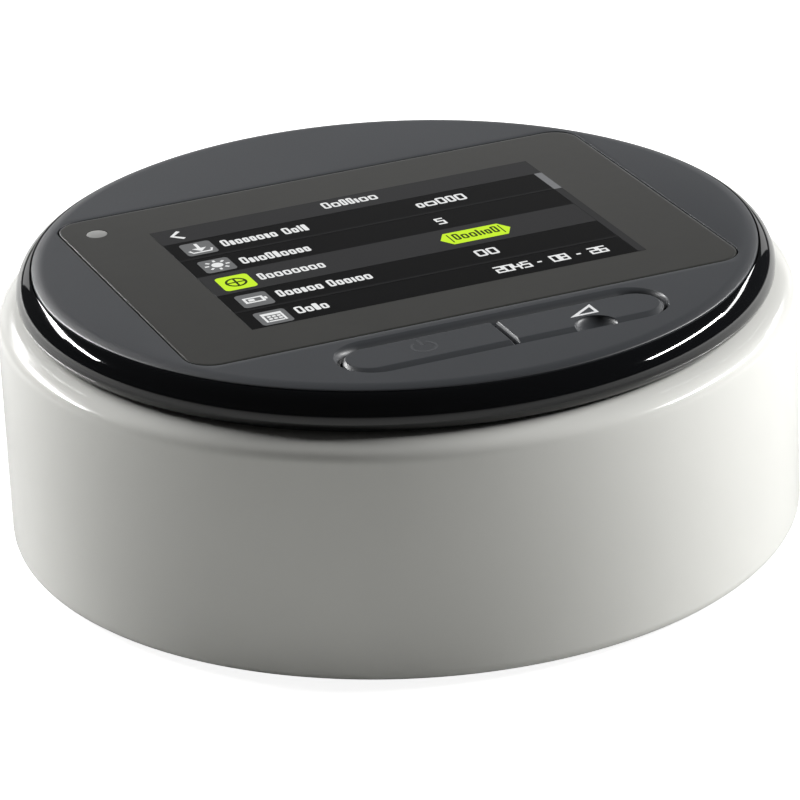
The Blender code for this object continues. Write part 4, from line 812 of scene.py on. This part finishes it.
class MACHINE_OT_outlet(MachineOperator, bpy.types.Operator):
    """Makes the hose port and the collar round it"""

    bl_idname = "machine.outlet"
    bl_label = "Hose port"

    def execute(self, context):
        collar = [(11.5, 66.2), (11.5, 71.9), *arc((11.8, 71.9), (0.3, 0.3), 180, 90, 4)]
        collar += [*arc((14.2, 71.4), (0.8, 0.8), 90, 0, 6), (15.0, 66.2)]
        collar = moved([turned(collar, FINE_SIDES, True)], along_rear(OUTLET_Z))
        white = material("white_plastic")
        piece("port_collar", collar, white, "housing", ())
        port = [(9.0, 58.1), (9.0, 91.6), *arc((9.6, 91.6), (0.6, 0.6), 180, 90, 5)]
        port += [*arc((10.3, 91.6), (0.6, 0.6), 90, 0, 5), (11.2, 72.4), (11.2, 65.9), (13.8, 65.9)]
        port += [(13.8, 64.1), (10.8, 64.1), (10.8, 58.1)]
        port = moved([turned(port, FINE_SIDES, True)], along_rear(OUTLET_Z))
        piece("hose_port", port, white, "housing", ["air_outlet"])
        return {"FINISHED"}


class MACHINE_OT_side_doors(MachineOperator, bpy.types.Operator):
    """Makes the louvred filter cover and the power socket"""

    bl_idname = "machine.side_doors"
    bl_label = "Filter cover and power socket"

    def execute(self, context):
        half = 18.5
        outer, inner = 71.0, 69.0
        spread, back_spread = (math.degrees(math.asin(half / radius)) for radius in (outer, inner))
        face = arc((0, 0), (outer, outer), spread, -spread, 48)
        back = arc((0, 0), (inner, inner), -back_spread, back_spread, 48)
        outline = np.concatenate([face, back])
        inset = 0.3
        near = outline * 0.9955
        rows = [(near, 10.5), (outline, 10.5 - inset), (outline, inset - 10.5), (near, -10.5)]
        parts = [lofted(rows), flat([near], 10.5), flat([near], -10.5)]
        turn = Matrix.Translation((0, 0, OUTLET_Z)) @ Matrix.Rotation(math.radians(FILTER_ANGLE), 4, "Z")
        white = material("white_plastic")
        cover = piece("louvre_cover", moved(parts, turn), white, "filter_pack", ["filter_cover"])
        slots = []
        for height in np.linspace(-6.2, 6.2, 5):
            slot = slab([box_outline(height - 0.8, height + 0.8, -14.8, 14.8, 0.79)], CUT_FROM, CUT_TO)
            slots.append(moved(slot, facing(FILTER_ANGLE, OUTLET_Z)))
        carve(cover, *slots)

        nose = [(0, 61.6), (3.3, 61.6), (3.3, 70.2), (3.6, 70.5), (5.2, 70.5), (5.6, 70.1), (5.6, 67.6)]
        nose += [(7.4, 67.6), (7.4, 56.0), (0, 56.0)]
        pin = [(0, 69.4), (0.5, 69.3), (1.0, 68.8), (1.0, 61.0), (0, 61.0)]
        place = facing(JACK_ANGLE, JACK_Z)
        nose = moved([turned(nose, FINE_SIDES)], place)
        piece("power_socket", nose, material("black_plastic"), "housing", ["dc_jack"])
        pin = moved([turned(pin, 32)], place)
        piece("socket_pin", pin, material("nickel"), "housing", ())
        return {"FINISHED"}


class MACHINE_OT_base(MachineOperator, bpy.types.Operator):
    """Makes the rubber feet"""

    bl_idname = "machine.base"
    bl_label = "Feet"

    def execute(self, context):
        for number in range(1, 5):
            low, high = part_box(f"foot_{number}")
            middle = ((low.x + high.x) / 2 / MM, ((low.y + high.y) / 2 - AXIS_Y) / MM, 0)
            profile = [(0, 2.2), (6.0, 2.2), (6.0, 0.7), *arc((5.3, 0.7), (0.7, 0.7), 0, -90, 6), (4.2, 0)]
            profile += [(4.0, 0.25), (0, 0.25)]
            foot = moved([turned(profile, 64)], Matrix.Translation(middle))
            piece(f"rubber_foot_{number}", foot, material("rubber"), "housing", [f"foot_{number}"])
        return {"FINISHED"}


class MACHINE_OT_inner(MachineOperator, bpy.types.Operator):
    """Gives every piece that keeps its modelled shape its finish"""

    bl_idname = "machine.inner"
    bl_label = "Inner pieces"

    def execute(self, context):
        slots = {row["node"]: row["material_slot"] for row in frame["record"]["subparts"]}
        for name, node in frame["nodes"].items():
            node.data.materials.clear()
            node.data.materials.append(material(slots[name]))
        return {"FINISHED"}


CAMERA_AZIMUTH = -22.1043
CAMERA_ELEVATION = 23.7243
CAMERA_ROLL = -2.7234
CAMERA_FROM_TOP = (-261.0, -641.9, 274.1)
CAMERA_LENS = 189.99
FILM_WIDTH = 36
LAMP_TARGET = 0.03
FLOOR_RADIUS = 4000


def aim_camera(context):
    """A long lens at the photograph's viewing angle."""
    az, el, roll = map(math.radians, (CAMERA_AZIMUTH, CAMERA_ELEVATION, CAMERA_ROLL))
    forward = Vector((-math.sin(az) * math.cos(el), math.cos(az) * math.cos(el), -math.sin(el)))
    right = Vector((math.cos(az), math.sin(az), 0))
    down = forward.cross(right)
    across = math.cos(roll) * right - math.sin(roll) * down
    up = -(math.sin(roll) * right + math.cos(roll) * down)
    data = bpy.data.cameras.new("camera")
    data.lens = CAMERA_LENS
    data.sensor_width = FILM_WIDTH
    data.clip_start = 0.05
    camera = bpy.data.objects.new("camera", data)
    turn = Matrix((across, up, -forward)).transposed().to_4x4()
    place = Vector(CAMERA_FROM_TOP) + Vector((0, 0, TOP))
    camera.matrix_world = Matrix.Translation(place * MM + Vector((0, AXIS_Y, 0))) @ turn
    context.scene.collection.objects.link(camera)
    context.scene.camera = camera


def lamp(context, name, bearing, elevation, distance, size, power):
    """A soft box that faces the machine. Its bearing is counted from the camera's side, to the right.

    Its way from the machine is (right sin b - forward cos b) cos e + up sin e, for bearing b and
    elevation e in degrees. Its distance and size are in metres and its power is in watts.
    """
    az, turn, rise = (math.radians(a) for a in (CAMERA_AZIMUTH, bearing, elevation))
    right, forward = Vector((math.cos(az), math.sin(az), 0)), Vector((-math.sin(az), math.cos(az), 0))
    level = right * math.sin(turn) - forward * math.cos(turn)
    way = level * math.cos(rise) + Vector((0, 0, math.sin(rise)))
    data = bpy.data.lights.new(name, "AREA")
    data.shape = "RECTANGLE"
    data.size, data.size_y = size
    data.energy = power
    made = bpy.data.objects.new(name, data)
    place = Matrix.Translation(way * distance + Vector((0, AXIS_Y, LAMP_TARGET)))
    made.matrix_world = place @ way.to_track_quat("Z", "Y").to_matrix().to_4x4()
    context.scene.collection.objects.link(made)


def light_world(scene):
    """A white background, and a dim even light from all round.

    Reflections see the dim light, so that the black rim stays black.
    """
    world = bpy.data.worlds.new("studio")
    scene.world = world
    world.use_nodes = True
    tree = world.node_tree
    tree.nodes.clear()
    path = add_node(tree, "ShaderNodeLightPath")
    seen = add_node(
        tree,
        "ShaderNodeMath",
        {0: (path, "Is Camera Ray"), 1: (path, "Is Transmission Ray")},
        operation="MAXIMUM",
    )
    level = add_node(tree, "ShaderNodeMapRange", {"Value": (seen, "Value"), "To Min": 0.03, "To Max": 1.0})
    sky = add_node(tree, "ShaderNodeBackground", {"Color": (1, 1, 1, 1), "Strength": (level, "Result")})
    add_node(tree, "ShaderNodeOutputWorld", {"Surface": (sky, "Background")})


class MACHINE_OT_stage(MachineOperator, bpy.types.Operator):
    """Sets the camera, the pale floor, the soft boxes and the background"""

    bl_idname = "machine.stage"
    bl_label = "Stage"

    def execute(self, context):
        scene = context.scene
        scene.view_settings.view_transform = "Standard"
        aim_camera(context)
        light_world(scene)
        lamp(context, "left_strip", -122, 28, 0.80, (0.50, 0.04), 7.1)
        lamp(context, "left_edge_strip", -140, 26, 0.80, (0.50, 0.04), 1.3)
        lamp(context, "right_strip", 98, 28, 0.80, (0.50, 0.04), 8.0)
        lamp(context, "right_edge_strip", 132, 26, 0.80, (0.50, 0.04), 0.8)
        lamp(context, "rear_panel", 180, 10, 0.60, (0.80, 0.15), 0.3)
        # Matt paper: white to the camera, with the machine's shadow, and grey to everything else.
        floor, tree, output = blank("pale_floor")
        path = add_node(tree, "ShaderNodeLightPath")
        card = add_node(tree, "ShaderNodeBsdfDiffuse", {"Color": (0.6, 0.6, 0.6, 1)})
        glow = add_node(tree, "ShaderNodeEmission", {"Color": (1, 1, 1, 1), "Strength": 0.9})
        both = add_node(tree, "ShaderNodeAddShader", {0: (card, "BSDF"), 1: (glow, "Emission")})
        dim = add_node(tree, "ShaderNodeBsdfDiffuse", {"Color": (0.6, 0.6, 0.59, 1)})
        mix = add_node(
            tree,
            "ShaderNodeMixShader",
            {0: (path, "Is Camera Ray"), 1: (dim, "BSDF"), 2: (both, "Shader")},
        )
        tree.links.new(mix.outputs["Shader"], output.inputs["Surface"])
        ground = piece("floor", [flat([circle(FLOOR_RADIUS, sides=64)], 0)], floor, None)
        return {"FINISHED"}


PIECE_OPERATORS = (
    MACHINE_OT_inner,
    MACHINE_OT_shell,
    MACHINE_OT_lid,
    MACHINE_OT_face,
    MACHINE_OT_screen,
    MACHINE_OT_buttons,
    MACHINE_OT_outlet,
    MACHINE_OT_side_doors,
    MACHINE_OT_base,
    MACHINE_OT_stage,
)


class MACHINE_PT_panel(bpy.types.Panel):
    """Lists the machine's settings and the steps that build it"""

    bl_idname = "MACHINE_PT_panel"
    bl_label = "Round CPAP machine"
    bl_space_type = "VIEW_3D"
    bl_region_type = "UI"
    bl_category = "Machine"

    def draw(self, context):
        layout = self.layout
        for group in (context.scene.machine_sizes, context.scene.machine_colours):
            for key in group.bl_rna.properties.keys():
                if key not in ("rna_type", "name"):
                    layout.prop(group, key)
        for operator in PIECE_OPERATORS:
            layout.operator(operator.bl_idname)


CLASSES = (MachineSizes, MachineColours, *PIECE_OPERATORS, MACHINE_PT_panel)


def register():
    for cls in CLASSES:
        bpy.utils.register_class(cls)
    bpy.types.Scene.machine_sizes = bpy.props.PointerProperty(type=MachineSizes)
    bpy.types.Scene.machine_colours = bpy.props.PointerProperty(type=MachineColours)


def unregister():
    del bpy.types.Scene.machine_colours
    del bpy.types.Scene.machine_sizes
    for cls in reversed(CLASSES):
        bpy.utils.unregister_class(cls)


def main():
    """Builds the machine and its stage."""
    register()
    for operator in PIECE_OPERATORS:
        group, name = operator.bl_idname.split(".")
        getattr(getattr(bpy.ops, group), name)()


if __name__ == "__main__":
    main()
